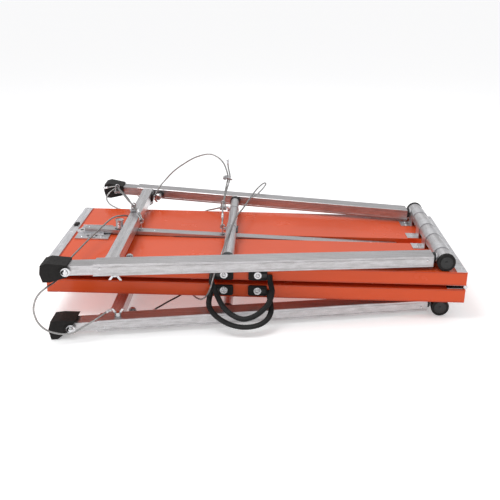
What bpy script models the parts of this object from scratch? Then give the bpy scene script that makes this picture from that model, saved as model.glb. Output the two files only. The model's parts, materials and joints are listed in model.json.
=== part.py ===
"""Folding stretcher with two hinged boards and a splayed leg frame on each, folded flat.

Everything is laid out in the folded pose around the board hinge, whose axis is the Y axis of
the `stand` empty. Each half is built once, facing up; the lower half is the same half turned
over about X. +x points to the hinge end, -x to the feet, +z away from the board. Metres.
"""
import math

import bmesh
import bpy
from mathutils import Vector

for old in list(bpy.data.objects):
    bpy.data.objects.remove(old, do_unlink=True)

# ---- clearances -------------------------------------------------------------------------
TOUCH = 0.0003              # between faces that bear on each other
SLIDE_CLEAR = 0.0004        # round a telescoping tube
RUN_CLEAR = 0.0003          # round a turning pin or tube
OVERLAP = 0.001             # how far fused shapes run into each other

# ---- boards -----------------------------------------------------------------------------
BOARD_LENGTH = 1.0
BOARD_WIDTH = 0.429
BOARD_THICKNESS = 0.033
BOARD_GAP = 0.011           # between the folded boards
END_CLEAR = 0.0005          # from a board's end to the hinge axis

# ---- board hinge ------------------------------------------------------------------------
LEAF_WIDTH = 0.043
LEAF_THICKNESS = 0.0016
KNUCKLE_GAP = 0.0006
KNUCKLE_COUNT = 5
HINGE_PIN_RADIUS = 0.0024
HINGE_END_INSET = 0.004     # from the boards' long edges

# ---- trim on each board's outer face ----------------------------------------------------
TRIM_THICKNESS = 0.0015
EDGE_INSET = 0.001          # from the board's edge to the trim
FOOT_STRIP_WIDTH = 0.0225
HINGE_STRIP_WIDTH = 0.024
RIVET_RADIUS = 0.0035
RIVET_HEIGHT = 0.0012
RIVET_COUNT = 5
RIVET_END_INSET = 0.022

# ---- saddle straps over the pivot tube --------------------------------------------------
STRAP_WIDTH = 0.038
STRAP_THICKNESS = 0.0015
STRAP_TAB = 0.028           # flat tab on the board, towards the feet
STRAP_FOOT_INSET = 0.005    # from the hinge end to the strap's other foot
INNER_STRAP_RATIO = 0.2857  # inner straps' offset over the outer ones'
NECK_TO_STRAP = 0.0045      # along the tube

# ---- leg frame --------------------------------------------------------------------------
TUBE_INSET = 0.051          # pivot tube's axis from the hinge end
TUBE_RADIUS = 0.020
TUBE_WALL = 0.002
TUBE_END_INSET = 0.004      # end caps from the board's long edges
CAP_RIM = 0.0017            # cap's radius over the tube's
CAP_THICKNESS = 0.0075
CAP_SPIGOT = 0.010
NECK_RADIUS = 0.011
RAIL_ROOT_INSET = 0.040     # rail's centre line at the tube, from the board's long edge
RAIL_SPLAY = 0.1697         # sideways per unit of length
RAIL_WIDTH = 0.0449
RAIL_HEIGHT = 0.028
RAIL_WALL = 0.0025
RAIL_DROP = 0.0012          # rail's axis below the tube's, towards the board
RAIL_TUBE_GAP = 0.009       # between the tube's surface and the rail's end
RAIL_SOLID_END = 0.016      # plugged length at the tube
RAIL_FOOT_INSET = 0.1405    # rail's end from the board's foot end
SQUARE_BAR = 0.028
SQUARE_BAR_INSET = 0.174    # its centre from the board's foot end
ROUND_BAR_INSET = 0.434
ROUND_BAR_RADIUS = 0.012
SLEEVE_RADIUS = 0.0138
SLEEVE_END = 0.0135         # where the sleeve stops, past the board's middle

# ---- telescoping legs and shoes ---------------------------------------------------------
LEG_WALL = 0.002
LEG_FOOT_INSET = 0.040      # leg's outer end from the board's foot end
LEG_LENGTH = 0.41
UPPER_FAR_LEG_IN = 0.010    # how much further in the upper far leg is pushed
SHOE_HALF_WIDTH = 0.026
SHOE_WASHER_RADIUS = 0.0105
SHOE_WASHER_THICKNESS = 0.002
SHOE_SCREW_RADIUS = 0.006
SHOE_SCREW_HEIGHT = 0.0045
SHOE_WASHER_X = 0.079       # from the board's foot end
# side outlines: distance from the board's foot end, height over the leg's axis
UPPER_SHOE = [
    (0.028, -0.003), (0.034, -0.0235), (0.049, -0.024), (0.086, -0.0128),
    (0.086, 0.015), (0.044, 0.0205), (0.030, 0.016),
]
LOWER_SHOE = [
    (0.034, 0.000), (0.040, -0.021), (0.060, -0.0225), (0.095, -0.019),
    (0.0775, 0.005), (0.053, 0.024), (0.039, 0.0235),
]

# ---- fittings on the rails --------------------------------------------------------------
WING_INSET = 0.184          # from the board's foot end
WING_HUB_RADIUS = 0.008
WING_HUB_HEIGHT = 0.009
WING_SPAN = 0.031
WING_REACH = 0.017
WING_THICKNESS = 0.003
BOLT_RADIUS = 0.003
PLUNGER_INSET = 0.213       # from the board's foot end
PLUNGER_PIN_RADIUS = 0.003
PLUNGER_STEM_RADIUS = 0.004
PLUNGER_BUSH_RADIUS = 0.0075
PLUNGER_BUSH_LENGTH = 0.015
PLUNGER_NECK_LENGTH = 0.008
PLUNGER_KNOB_RADIUS = 0.0095
PLUNGER_KNOB_LENGTH = 0.012

# ---- brace along the board's middle -----------------------------------------------------
BRACE_WIDTH = 0.028
BRACE_THICKNESS = 0.009
BRACE_PIVOT_INSET = 0.138   # from the board's hinge end
BRACE_PIVOT_DEPTH = 0.0128  # below the board's outer face
BRACE_FOOT_INSET = 0.051    # from the board's foot end
BRACE_FOOT_TOP = 0.0166     # top face's height at the foot end
BRACE_TIP = 0.0065          # past the pivot
BRACE_PIN_RADIUS = 0.003
SLOT_SIDE_CLEAR = 0.0035
SLOT_FLOOR_CLEAR = 0.0015
SLOT_LIFT_CLEAR = 0.0008
SLOT_HINGE_RUN = 0.071      # slot past the pivot, towards the hinge

# ---- latch ------------------------------------------------------------------------------
LATCH_INSET = 0.032
LATCH_LENGTH = 0.086
LATCH_NEAR = 0.0525         # from the middle to the near edge
LATCH_FAR = 0.0405
LATCH_THICKNESS = 0.003
LATCH_CHEEK_THICKNESS = 0.0024
LATCH_CHEEK_HEIGHT = 0.0100
LATCH_CHEEK_START = 0.016
LATCH_CHEEK_LENGTH = 0.052
LATCH_SIDE_CLEAR = 0.0006
KNOB_INSET = 0.139          # from the board's foot end
KNOB_STEM_RADIUS = 0.004
KNOB_BODY_RADIUS = 0.0092
KNOB_DISC_RADIUS = 0.0110
KNOB_BODY_HEIGHT = 0.0215
KNOB_DISC_HEIGHT = 0.003
KNOB_LIFT = 0.0008

# ---- carrying handles -------------------------------------------------------------------
HANDLE_INSET = 0.535        # handle's middle from the hinge end
PAD_SPACING = 0.0805
PAD_LENGTH = 0.045
PAD_HEIGHT = 0.025
PAD_THICKNESS = 0.006
PAD_DEPTH = 0.0185          # pad's middle below the board's outer face
PAD_CHAMFER = 0.003
BAND_WIDTH = 0.0105
BAND_THICKNESS = 0.006
BAND_PAD_CLEAR = 0.0005
UPPER_HANDLE_LEAN = math.radians(50)
LOWER_HANDLE_LEAN = math.radians(64)
# each loop's route from the foot-side pad to the other: away from the pads, along the board
UPPER_LOOP = [
    (0.022, -0.068), (0.046, -0.058), (0.068, -0.048), (0.088, -0.036), (0.105, -0.017),
    (0.115, 0.009), (0.106, 0.036), (0.085, 0.059), (0.065, 0.070), (0.041, 0.0745),
    (0.018, 0.070),
]
LOWER_LOOP = [
    (0.020, -0.072), (0.046, -0.073), (0.068, -0.064), (0.090, -0.044), (0.106, -0.016),
    (0.111, 0.014), (0.104, 0.044), (0.087, 0.064), (0.063, 0.073), (0.040, 0.072),
    (0.017, 0.069),
]

# ---- eye bolts on the upper brace -------------------------------------------------------
FOOT_EYE_INSET = 0.196      # from the board's foot end
FOOT_EYE_HEIGHT = 0.0240    # ring's centre over the brace
FOOT_EYE_TURN = math.radians(25.4)
MIDDLE_EYE_INSET = 0.409
MIDDLE_EYE_HEIGHT = 0.0203
MIDDLE_EYE_TURN = 0.0
EYE_RING_RADIUS = 0.0056
EYE_WIRE_RADIUS = 0.0019
EYE_FLANGE_RADIUS = 0.0065
EYE_FLANGE_HEIGHT = 0.0025

# ---- wire ropes -------------------------------------------------------------------------
ROPE_RADIUS = 0.0022
# each rope's route in the stand: hand-chosen points from one end to the other
ROPE_ROUTES = {
    "rope_foot_tether": [
        (-0.9585, 0.2965, 0.0765), (-0.9400, 0.2915, 0.0812), (-0.9196, 0.2850, 0.0844),
        (-0.9000, 0.2335, 0.0869), (-0.8775, 0.1745, 0.0894), (-0.8545, 0.1115, 0.0940),
        (-0.8311, 0.0555, 0.0981), (-0.8195, 0.0311, 0.0968), (-0.8096, 0.0103, 0.0914),
        (-0.8041, -0.0014, 0.0886), (-0.8009, -0.0082, 0.0816), (-0.8041, -0.0014, 0.0746),
        (-0.8088, 0.0085, 0.0796), (-0.8125, 0.0163, 0.0860), (-0.8195, 0.0311, 0.0908),
        (-0.8311, 0.0555, 0.0930), (-0.8495, 0.1125, 0.0889), (-0.8700, 0.1765, 0.0843),
        (-0.8945, 0.2355, 0.0818), (-0.9196, 0.2845, 0.0792), (-0.9350, 0.2870, 0.0718),
        (-0.9455, 0.2790, 0.0620), (-0.9485, 0.2690, 0.0535), (-0.9440, 0.2580, 0.0468),
        (-0.9320, 0.2440, 0.0405), (-0.9085, 0.2300, 0.0345), (-0.8800, 0.2220, 0.0290),
        (-0.8400, 0.2190, 0.0262), (-0.7800, 0.2185, 0.0255), (-0.7200, 0.2185, 0.0262),
        (-0.6650, 0.2190, 0.0330), (-0.6440, 0.2180, 0.0400), (-0.6300, 0.2085, 0.0460),
        (-0.6051, 0.1873, 0.0585), (-0.5890, 0.1600, 0.0690), (-0.5810, 0.1500, 0.0712),
    ],
    "rope_middle_tether": [
        (-0.5905, 0.2555, 0.1778), (-0.5880, 0.2480, 0.1600), (-0.5838, 0.2400, 0.1450),
        (-0.5826, 0.2355, 0.1329), (-0.5868, 0.2255, 0.1160), (-0.5895, 0.2080, 0.1090),
        (-0.5920, 0.1655, 0.1048), (-0.5928, 0.1200, 0.1042), (-0.5932, 0.0755, 0.1041),
        (-0.5930, 0.0500, 0.1008), (-0.5925, 0.0280, 0.0930), (-0.5920, 0.0120, 0.0830),
        (-0.5916, -0.0010, 0.0784), (-0.5915, -0.0082, 0.0714), (-0.5916, -0.0010, 0.0644),
        (-0.5918, 0.0100, 0.0675), (-0.5922, 0.0220, 0.0775), (-0.5930, 0.0360, 0.0885),
        (-0.5936, 0.0550, 0.0954), (-0.5940, 0.0755, 0.0990), (-0.5941, 0.1200, 0.0991),
        (-0.5940, 0.1655, 0.0997), (-0.5937, 0.2080, 0.1050), (-0.5922, 0.2265, 0.1150),
        (-0.5878, 0.2360, 0.1332), (-0.5902, 0.2400, 0.1450), (-0.5945, 0.2455, 0.1570),
        (-0.6025, 0.2530, 0.1725), (-0.6190, 0.2620, 0.1865), (-0.6428, 0.2720, 0.1930),
        (-0.6727, 0.2800, 0.1855), (-0.7020, 0.2845, 0.1710), (-0.7464, 0.2855, 0.1395),
        (-0.7764, 0.2800, 0.1084), (-0.7905, 0.2650, 0.0930), (-0.7985, 0.2575, 0.0790),
        (-0.8050, 0.2545, 0.0690), (-0.8088, 0.2530, 0.0620),
    ],
    "rope_near_run": [
        (-0.8085, 0.2440, 0.0585), (-0.8100, 0.2400, 0.0500), (-0.8206, 0.2250, 0.0458),
        (-0.8352, 0.1758, 0.0450), (-0.8440, 0.1400, 0.0465), (-0.8500, 0.0950, 0.0560),
        (-0.8560, 0.0500, 0.0720), (-0.8620, 0.0230, 0.0800), (-0.8718, 0.0120, 0.0815),
        (-0.8843, -0.0063, 0.0785), (-0.8992, -0.0625, 0.0725), (-0.9114, -0.1243, 0.0685),
        (-0.9197, -0.1959, 0.0680), (-0.9280, -0.2600, 0.0660), (-0.9336, -0.2890, 0.0590),
        (-0.9390, -0.2935, 0.0470), (-0.9430, -0.3080, 0.0385), (-0.9490, -0.3320, 0.0360),
        (-0.9580, -0.3580, 0.0355), (-0.9680, -0.3700, 0.0290), (-0.9790, -0.3715, 0.0140),
        (-0.9850, -0.3715, -0.0030), (-0.9865, -0.3715, -0.0196), (-0.9796, -0.3715, -0.0438),
        (-0.9637, -0.3690, -0.0628), (-0.9428, -0.3650, -0.0724), (-0.9219, -0.3600, -0.0768),
        (-0.9027, -0.3545, -0.0737), (-0.8805, -0.3480, -0.0605), (-0.8596, -0.3380, -0.0498),
        (-0.8415, -0.3160, -0.0425), (-0.8310, -0.3030, -0.0410),
    ],
    "rope_middle_run": [
        (-0.5010, 0.2765, 0.0720), (-0.4965, 0.2765, 0.0810), (-0.4850, 0.2810, 0.0940),
        (-0.4790, 0.2900, 0.1010), (-0.4795, 0.2990, 0.1030), (-0.4850, 0.3050, 0.1005),
        (-0.4925, 0.3017, 0.0960), (-0.5069, 0.2744, 0.0880), (-0.5231, 0.2038, 0.0835),
        (-0.5405, 0.1095, 0.0825), (-0.5568, 0.0282, 0.0825), (-0.5694, -0.1015, 0.0825),
        (-0.5768, -0.1998, 0.0815), (-0.5805, -0.2300, 0.0770), (-0.5840, -0.2320, 0.0620),
        (-0.5885, -0.2290, 0.0480), (-0.5938, -0.2275, 0.0340), (-0.5978, -0.2300, 0.0250),
        (-0.6005, -0.2370, 0.0137), (-0.6040, -0.2505, 0.0025), (-0.6100, -0.2460, -0.0160),
        (-0.6175, -0.2400, -0.0300), (-0.6250, -0.2310, -0.0395), (-0.6330, -0.2190, -0.0460),
        (-0.6440, -0.1970, -0.0515), (-0.6535, -0.1780, -0.0525), (-0.6590, -0.1670, -0.0490),
        (-0.6610, -0.1620, -0.0430),
    ],
    "rope_lower_run": [
        (-0.7390, -0.2530, -0.0625), (-0.7410, -0.2420, -0.0665), (-0.7400, -0.2250, -0.0720),
        (-0.7300, -0.1980, -0.0760), (-0.7157, -0.1700, -0.0770), (-0.6990, -0.1480, -0.0755),
        (-0.6851, -0.1300, -0.0735), (-0.6720, -0.1150, -0.0690), (-0.6600, -0.1030, -0.0600),
        (-0.6530, -0.0960, -0.0490), (-0.6510, -0.0940, -0.0430),
    ],
}

# ---- how the two halves differ at rest --------------------------------------------------
UPPER_FRAME_TILT = math.radians(0.61)   # leg frame against its board
LOWER_FRAME_TILT = math.radians(1.10)
UPPER_FRAME_SHIFT = 0.0
LOWER_FRAME_SHIFT = -0.012  # along the pivot tube, in the turned-over half

# ---- worked out from the sizes above ----------------------------------------------------
INNER_FACE = BOARD_GAP / 2
OUTER_FACE = INNER_FACE + BOARD_THICKNESS
HALF_WIDTH = BOARD_WIDTH / 2
FOOT_END = -(END_CLEAR + BOARD_LENGTH)
CAP_RADIUS = TUBE_RADIUS + CAP_RIM
TUBE_X = -(END_CLEAR + TUBE_INSET)
TUBE_Z = OUTER_FACE + CAP_RADIUS + TOUCH
RAIL_ROOT = HALF_WIDTH - RAIL_ROOT_INSET
RAIL_TUBE_END = -(TUBE_RADIUS + RAIL_TUBE_GAP)
RAIL_HALF = RAIL_WIDTH / 2
BORE_HALF = RAIL_HALF - RAIL_WALL
LEG_HALF = BORE_HALF - SLIDE_CLEAR
LEG_HALF_HEIGHT = RAIL_HEIGHT / 2 - RAIL_WALL - SLIDE_CLEAR
OUTER_STRAP = RAIL_ROOT - NECK_RADIUS - NECK_TO_STRAP - STRAP_WIDTH / 2
STRAPS = [
    -OUTER_STRAP, -OUTER_STRAP * INNER_STRAP_RATIO,
    OUTER_STRAP * INNER_STRAP_RATIO, OUTER_STRAP,
]


def from_foot(distance):
    """x in a half, from the board's foot end."""
    return FOOT_END + distance


def in_frame(distance):
    """x in a leg frame, from the board's foot end."""
    return from_foot(distance) - TUBE_X


# ---- building helpers -------------------------------------------------------------------
def material(name, colour, roughness, metallic):
    mat = bpy.data.materials.new(name)
    mat.use_nodes = True
    shader = mat.node_tree.nodes["Principled BSDF"]
    shader.inputs["Base Color"].default_value = (*colour, 1.0)
    shader.inputs["Roughness"].default_value = roughness
    shader.inputs["Metallic"].default_value = metallic
    return mat


ORANGE = material("orange_board", (0.72, 0.12, 0.05), 0.22, 0.0)
ALUMINIUM = material("aluminium", (0.60, 0.59, 0.60), 0.36, 1.0)
BRIGHT = material("bright_steel", (0.72, 0.72, 0.73), 0.24, 1.0)
BLACK = material("black_rubber", (0.022, 0.020, 0.019), 0.62, 0.0)
STRAP_BLACK = material("black_webbing", (0.012, 0.012, 0.012), 0.5, 0.0)
CABLE = material("wire_rope", (0.42, 0.42, 0.43), 0.40, 1.0)


def empty(name, parent=None, location=(0, 0, 0), rotation=(0, 0, 0)):
    holder = bpy.data.objects.new(name, None)
    bpy.context.collection.objects.link(holder)
    holder.parent = parent
    holder.location = location
    holder.rotation_euler = rotation
    return holder


def put(name, shape, mat, parent, location=(0, 0, 0), rotation=(0, 0, 0), smooth=False):
    """Turn a bmesh into an object of one closed surface facing out."""
    bmesh.ops.recalc_face_normals(shape, faces=shape.faces)
    mesh = bpy.data.meshes.new(name)
    shape.to_mesh(mesh)
    shape.free()
    if mat:
        mesh.materials.append(mat)
    thing = bpy.data.objects.new(name, mesh)
    bpy.context.collection.objects.link(thing)
    thing.parent = parent
    thing.location = location
    thing.rotation_euler = rotation
    if smooth:
        mesh.shade_smooth()
        mesh.set_sharp_from_angle(angle=math.radians(35))
    return thing


def tool(name, shape, parent, location=(0, 0, 0), rotation=(0, 0, 0)):
    """A hidden shape that cuts or joins."""
    thing = put(name, shape, None, parent, location, rotation)
    thing.hide_render = True
    thing.display_type = "WIRE"
    return thing


def boolean(thing, other, operation):
    step = thing.modifiers.new(other.name, "BOOLEAN")
    step.operation = operation
    step.solver = "EXACT"
    step.object = other


def cut(thing, other):
    boolean(thing, other, "DIFFERENCE")


def fuse(thing, other):
    boolean(thing, other, "UNION")


def prism(points, low, high, axis="z"):
    """Extrude a flat outline: axis "z" takes (x, y) points, axis "y" takes (x, z) points.

    low and high are numbers or functions of a point's x.
    """
    shape = bmesh.new()
    extrude_into(shape, points, low, high, axis)
    return shape


def extrude_into(shape, points, low, high, axis="z"):
    rows = []
    for level in (low, high):
        row = []
        for a, b in points:
            h = level(a) if callable(level) else level
            row.append(shape.verts.new((a, b, h) if axis == "z" else (a, h, b)))
        rows.append(row)
    count = len(points)
    shape.faces.new(rows[0])
    shape.faces.new(rows[1])
    for i in range(count):
        j = (i + 1) % count
        shape.faces.new((rows[0][i], rows[0][j], rows[1][j], rows[1][i]))


def block(x0, x1, y0, y1, z0, z1):
    return prism([(x0, y0), (x1, y0), (x1, y1), (x0, y1)], z0, z1)


def arc(cx, cy, radius, start, end, steps):
    """Points round an arc; angles in degrees."""
    turn = [math.radians(start + (end - start) * i / steps) for i in range(steps + 1)]
    return [(cx + radius * math.cos(t), cy + radius * math.sin(t)) for t in turn]


def turned(profile, axis, segments=24):
    """A solid of revolution from (along, radius) pairs, closed by flat ends."""
    shape = bmesh.new()
    rings = []
    for along, radius in profile:
        ring = []
        for i in range(segments):
            t = 2 * math.pi * i / segments
            ring.append(shape.verts.new(on_axis(axis, along, radius, t)))
        rings.append(ring)
    skin(shape, rings)
    return shape


def skin(shape, rings):
    """Join rings of vertices into a closed surface with flat ends."""
    count = len(rings[0])
    for lower, upper in zip(rings, rings[1:]):
        for i in range(count):
            j = (i + 1) % count
            shape.faces.new((lower[i], lower[j], upper[j], upper[i]))
    shape.faces.new(rings[0])
    shape.faces.new(rings[-1])


def on_axis(axis, along, radius, t):
    u, v = radius * math.cos(t), radius * math.sin(t)
    if axis == "x":
        return along, u, v
    if axis == "y":
        return u, along, v
    return u, v, along


def rod(radius, low, high, axis, segments=24):
    return turned([(low, radius), (high, radius)], axis, segments)


def chamfered(half_x, half_z, chamfer):
    """Rectangle outline with cut corners."""
    return [
        (-half_x + chamfer, -half_z), (half_x - chamfer, -half_z),
        (half_x, -half_z + chamfer), (half_x, half_z - chamfer),
        (half_x - chamfer, half_z), (-half_x + chamfer, half_z),
        (-half_x, half_z - chamfer), (-half_x, -half_z + chamfer),
    ]


def smooth_route(points, per_span):
    """Catmull-Rom curve through the points, with per_span steps in each span."""
    route = []
    ends = [points[0] * 2 - points[1]] + points + [points[-1] * 2 - points[-2]]
    for a, b, c, d in zip(ends, ends[1:], ends[2:], ends[3:]):
        for i in range(per_span):
            t = i / per_span
            route.append(
                0.5 * (2 * b + (c - a) * t + (2 * a - 5 * b + 4 * c - d) * t ** 2
                       + (3 * b - a - 3 * c + d) * t ** 3)
            )
    return route + [points[-1]]


# ---- boards and what is fixed to them ---------------------------------------------------
def panel(name, half):
    board = put(
        name, block(FOOT_END, -END_CLEAR, -HALF_WIDTH, HALF_WIDTH, INNER_FACE, OUTER_FACE),
        ORANGE, half,
    )
    slope, pivot_x = brace_slope(), brace_pivot_x()
    sunk = (BRACE_FOOT_TOP - BRACE_THICKNESS - SLOT_LIFT_CLEAR) / math.tan(slope)
    start = from_foot(BRACE_FOOT_INSET) + sunk
    end = pivot_x + SLOT_HINGE_RUN
    r = BRACE_WIDTH / 2 + SLOT_SIDE_CLEAR
    outline = arc(start + r, 0, r, 270, 90, 12) + arc(end - r, 0, r, 90, -90, 12)
    slot = prism(outline, OUTER_FACE - slot_depth(), OUTER_FACE + OVERLAP)
    cut(board, tool(name + "_slot_cutter", slot, half))
    return board


def slot_depth():
    reach = math.hypot(BRACE_TIP, BRACE_THICKNESS / 2)
    return BRACE_PIVOT_DEPTH + reach + SLOT_FLOOR_CLEAR


def foot_strip(name, half):
    """Flat trim across the board's foot end, with domed rivets."""
    x0 = from_foot(EDGE_INSET)
    x1 = x0 + FOOT_STRIP_WIDTH
    y = HALF_WIDTH - EDGE_INSET
    z0 = OUTER_FACE + TOUCH
    z1 = z0 + TRIM_THICKNESS
    strip = put(name, block(x0, x1, -y, y, z0, z1), ALUMINIUM, half)
    span = 2 * (y - RIVET_END_INSET)
    for i in range(RIVET_COUNT):
        profile = [
            (z1 - OVERLAP / 2, RIVET_RADIUS), (z1 + RIVET_HEIGHT * 0.4, RIVET_RADIUS),
            (z1 + RIVET_HEIGHT, RIVET_RADIUS * 0.5),
        ]
        place = ((x0 + x1) / 2, -span / 2 + span * i / (RIVET_COUNT - 1), 0)
        rivet = tool(f"{name}_rivet_{i + 1}", turned(profile, "z", 12), half, place)
        fuse(strip, rivet)
    return strip


def saddle(name, half, shift):
    """Hinge-end trim with four straps that hold the pivot tube down."""
    x1 = -END_CLEAR - EDGE_INSET
    x0 = x1 - HINGE_STRIP_WIDTH
    y = HALF_WIDTH - EDGE_INSET
    z0 = OUTER_FACE + TOUCH
    z1 = z0 + TRIM_THICKNESS
    strip = put(name, block(x0, x1, -y, y, z0, z1), BRIGHT, half, smooth=True)
    inner = TUBE_RADIUS + RUN_CLEAR
    outer = inner + STRAP_THICKNESS
    foot_end = -END_CLEAR - STRAP_FOOT_INSET
    outline = (
        [(TUBE_X - outer - STRAP_TAB, z0), (TUBE_X - outer - STRAP_TAB, z0 + STRAP_THICKNESS),
         (TUBE_X - outer, z0 + STRAP_THICKNESS)]
        + arc(TUBE_X, TUBE_Z, outer, 180, 0, 20)
        + [(TUBE_X + outer, z1 + STRAP_THICKNESS / 2), (foot_end, z1 + STRAP_THICKNESS / 2),
           (foot_end, z1 - STRAP_THICKNESS / 2), (TUBE_X + inner, z1 - STRAP_THICKNESS / 2)]
        + arc(TUBE_X, TUBE_Z, inner, 0, 180, 20)
        + [(TUBE_X - inner, z0)]
    )
    shape = bmesh.new()
    for place in STRAPS:
        middle = place + shift
        extrude_into(shape, outline, middle - STRAP_WIDTH / 2, middle + STRAP_WIDTH / 2, "y")
    fuse(strip, tool(name + "_straps", shape, half))
    return strip


def knuckle_ends():
    """y limits of each hinge knuckle."""
    run = 2 * (HALF_WIDTH - HINGE_END_INSET)
    pitch = run / KNUCKLE_COUNT
    starts = [-run / 2 + pitch * i for i in range(KNUCKLE_COUNT)]
    return [(y + KNUCKLE_GAP / 2, y + pitch - KNUCKLE_GAP / 2) for y in starts]


def hinge_leaf(name, half, first):
    """Leaf on the board's inner face; it carries every second knuckle, from `first`."""
    radius = INNER_FACE - TOUCH - KNUCKLE_GAP / 3
    top = INNER_FACE - TOUCH
    bottom = top - LEAF_THICKNESS
    clear = radius + KNUCKLE_GAP
    y = HALF_WIDTH - HINGE_END_INSET
    leaf = put(
        name, block(-END_CLEAR - LEAF_WIDTH, -clear, -y, y, bottom, top), BRIGHT, half,
        smooth=True,
    )
    under = 180 - math.degrees(math.asin(bottom / radius))
    outline = (
        [(-clear - OVERLAP, bottom), (-clear - OVERLAP, top), (0, top)]
        + arc(0, 0, radius, 75, under - 360, 20)
    )
    shape = bmesh.new()
    for low, high in knuckle_ends()[first::2]:
        extrude_into(shape, outline, low, high, "y")
    fuse(leaf, tool(name + "_knuckles", shape, half))
    bore = rod(HINGE_PIN_RADIUS + RUN_CLEAR, -y - OVERLAP, y + OVERLAP, "y")
    cut(leaf, tool(name + "_bore", bore, half))
    return leaf


def latch_plate(name, half):
    """Plate under the brace's foot end, with a low cheek on each side of the brace."""
    x0 = from_foot(LATCH_INSET)
    x1 = x0 + LATCH_LENGTH
    z0 = OUTER_FACE + TOUCH
    plate = put(
        name, block(x0, x1, -LATCH_NEAR, LATCH_FAR, z0, z0 + LATCH_THICKNESS), BRIGHT, half
    )
    inside = BRACE_WIDTH / 2 + LATCH_SIDE_CLEAR
    for side in (-1, 1):
        a, b = sorted((side * inside, side * (inside + LATCH_CHEEK_THICKNESS)))
        start = x0 + LATCH_CHEEK_START
        cheek = block(start, start + LATCH_CHEEK_LENGTH, a, b,
                      z0 + LATCH_THICKNESS - OVERLAP, z0 + LATCH_CHEEK_HEIGHT)
        fuse(plate, tool(f"{name}_cheek_{'far' if side > 0 else 'near'}", cheek, half))
    return plate


def handle_pads(prefix, half, side):
    """Two pads on the board's long edge; side is -1 or 1 in the half."""
    outline = chamfered(PAD_LENGTH / 2, PAD_HEIGHT / 2, PAD_CHAMFER)
    for end, name in ((-1, "foot"), (1, "hinge")):
        pad = prism(outline, 0, side * PAD_THICKNESS, "y")
        place = (
            -END_CLEAR - HANDLE_INSET + end * PAD_SPACING / 2,
            side * (HALF_WIDTH + TOUCH), OUTER_FACE - PAD_DEPTH,
        )
        put(f"{prefix}_handle_pad_{name}", pad, BLACK, half, place)


def handle(name, half, side, loop, lean):
    """Flexible band that swings from its two pads."""
    mount = (
        -END_CLEAR - HANDLE_INSET, side * (HALF_WIDTH + TOUCH + PAD_THICKNESS / 2),
        OUTER_FACE - PAD_DEPTH,
    )
    start = (PAD_SPACING + PAD_LENGTH) / 2 + BAND_PAD_CLEAR + BAND_WIDTH / 2
    points = [Vector((-start, 0, 0))]
    points += [Vector((along, -drop, 0)) for drop, along in loop]
    points += [Vector((start, 0, 0))]
    route = smooth_route(points, 4)
    half_w, half_t = BAND_WIDTH / 2, BAND_THICKNESS / 2
    section = chamfered(half_w, half_t, 0.0018)
    shape = bmesh.new()
    rings = []
    for i, here in enumerate(route):
        before, after = route[max(i - 1, 0)], route[min(i + 1, len(route) - 1)]
        along = (after - before).normalized()
        across = Vector((-along.y, along.x, 0))
        rings.append([shape.verts.new(here + across * a + Vector((0, 0, b)))
                      for a, b in section])
    skin(shape, rings)
    return put(name, shape, STRAP_BLACK, half, mount, hang_turn(side, lean), smooth=True)


def hang_turn(side, lean):
    """Rotation that takes the loop's -y down and out from the given long edge.

    Down is -z of the upper half and +z of the turned-over lower one.
    """
    if side < 0:
        return (math.pi / 2 - lean, 0, 0)
    return (-math.pi / 2 - lean, 0, 0)


# ---- brace ------------------------------------------------------------------------------
def brace_pivot_x():
    return -END_CLEAR - BRACE_PIVOT_INSET


def brace_slope():
    run = brace_pivot_x() - from_foot(BRACE_FOOT_INSET)
    rise = BRACE_FOOT_TOP + BRACE_PIVOT_DEPTH - BRACE_THICKNESS / 2
    return math.atan2(rise, run)


def brace(prefix, half):
    """Flat bar hinged in the board's slot, with a pull knob near its free end."""
    pivot = (brace_pivot_x(), 0, OUTER_FACE - BRACE_PIVOT_DEPTH)
    swing = empty(prefix + "_brace_swing", half, pivot, (0, brace_slope(), 0))
    length = (brace_pivot_x() - from_foot(BRACE_FOOT_INSET)) / math.cos(brace_slope())
    t = BRACE_THICKNESS / 2
    bar = put(
        prefix + "_brace",
        block(-length, BRACE_TIP, -BRACE_WIDTH / 2, BRACE_WIDTH / 2, -t, t), ALUMINIUM, swing,
    )
    wide = BRACE_WIDTH / 2 + OVERLAP
    hole = rod(BRACE_PIN_RADIUS + RUN_CLEAR, -wide, wide, "y")
    cut(bar, tool(prefix + "_brace_pin_hole", hole, swing))
    knob_x = -(brace_pivot_x() - from_foot(KNOB_INSET)) / math.cos(brace_slope())
    seat = rod(KNOB_STEM_RADIUS + RUN_CLEAR, -t - OVERLAP, t + OVERLAP, "z")
    cut(bar, tool(prefix + "_brace_knob_hole", seat, swing, (knob_x, 0, 0)))
    base = t + KNOB_LIFT
    neck = base + KNOB_BODY_HEIGHT
    profile = [
        (-t + OVERLAP, KNOB_STEM_RADIUS), (base, KNOB_STEM_RADIUS), (base, KNOB_BODY_RADIUS),
        (neck, KNOB_BODY_RADIUS), (neck, KNOB_DISC_RADIUS),
        (neck + KNOB_DISC_HEIGHT, KNOB_DISC_RADIUS),
    ]
    put(prefix + "_latch_knob", turned(profile, "z", 20), BRIGHT, swing, (knob_x, 0, 0),
        smooth=True)
    side = BRACE_WIDTH / 2 + SLOT_SIDE_CLEAR - TOUCH
    put(prefix + "_brace_pin", rod(BRACE_PIN_RADIUS, -side, side, "y"), BRIGHT, half, pivot,
        smooth=True)
    return swing


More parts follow.
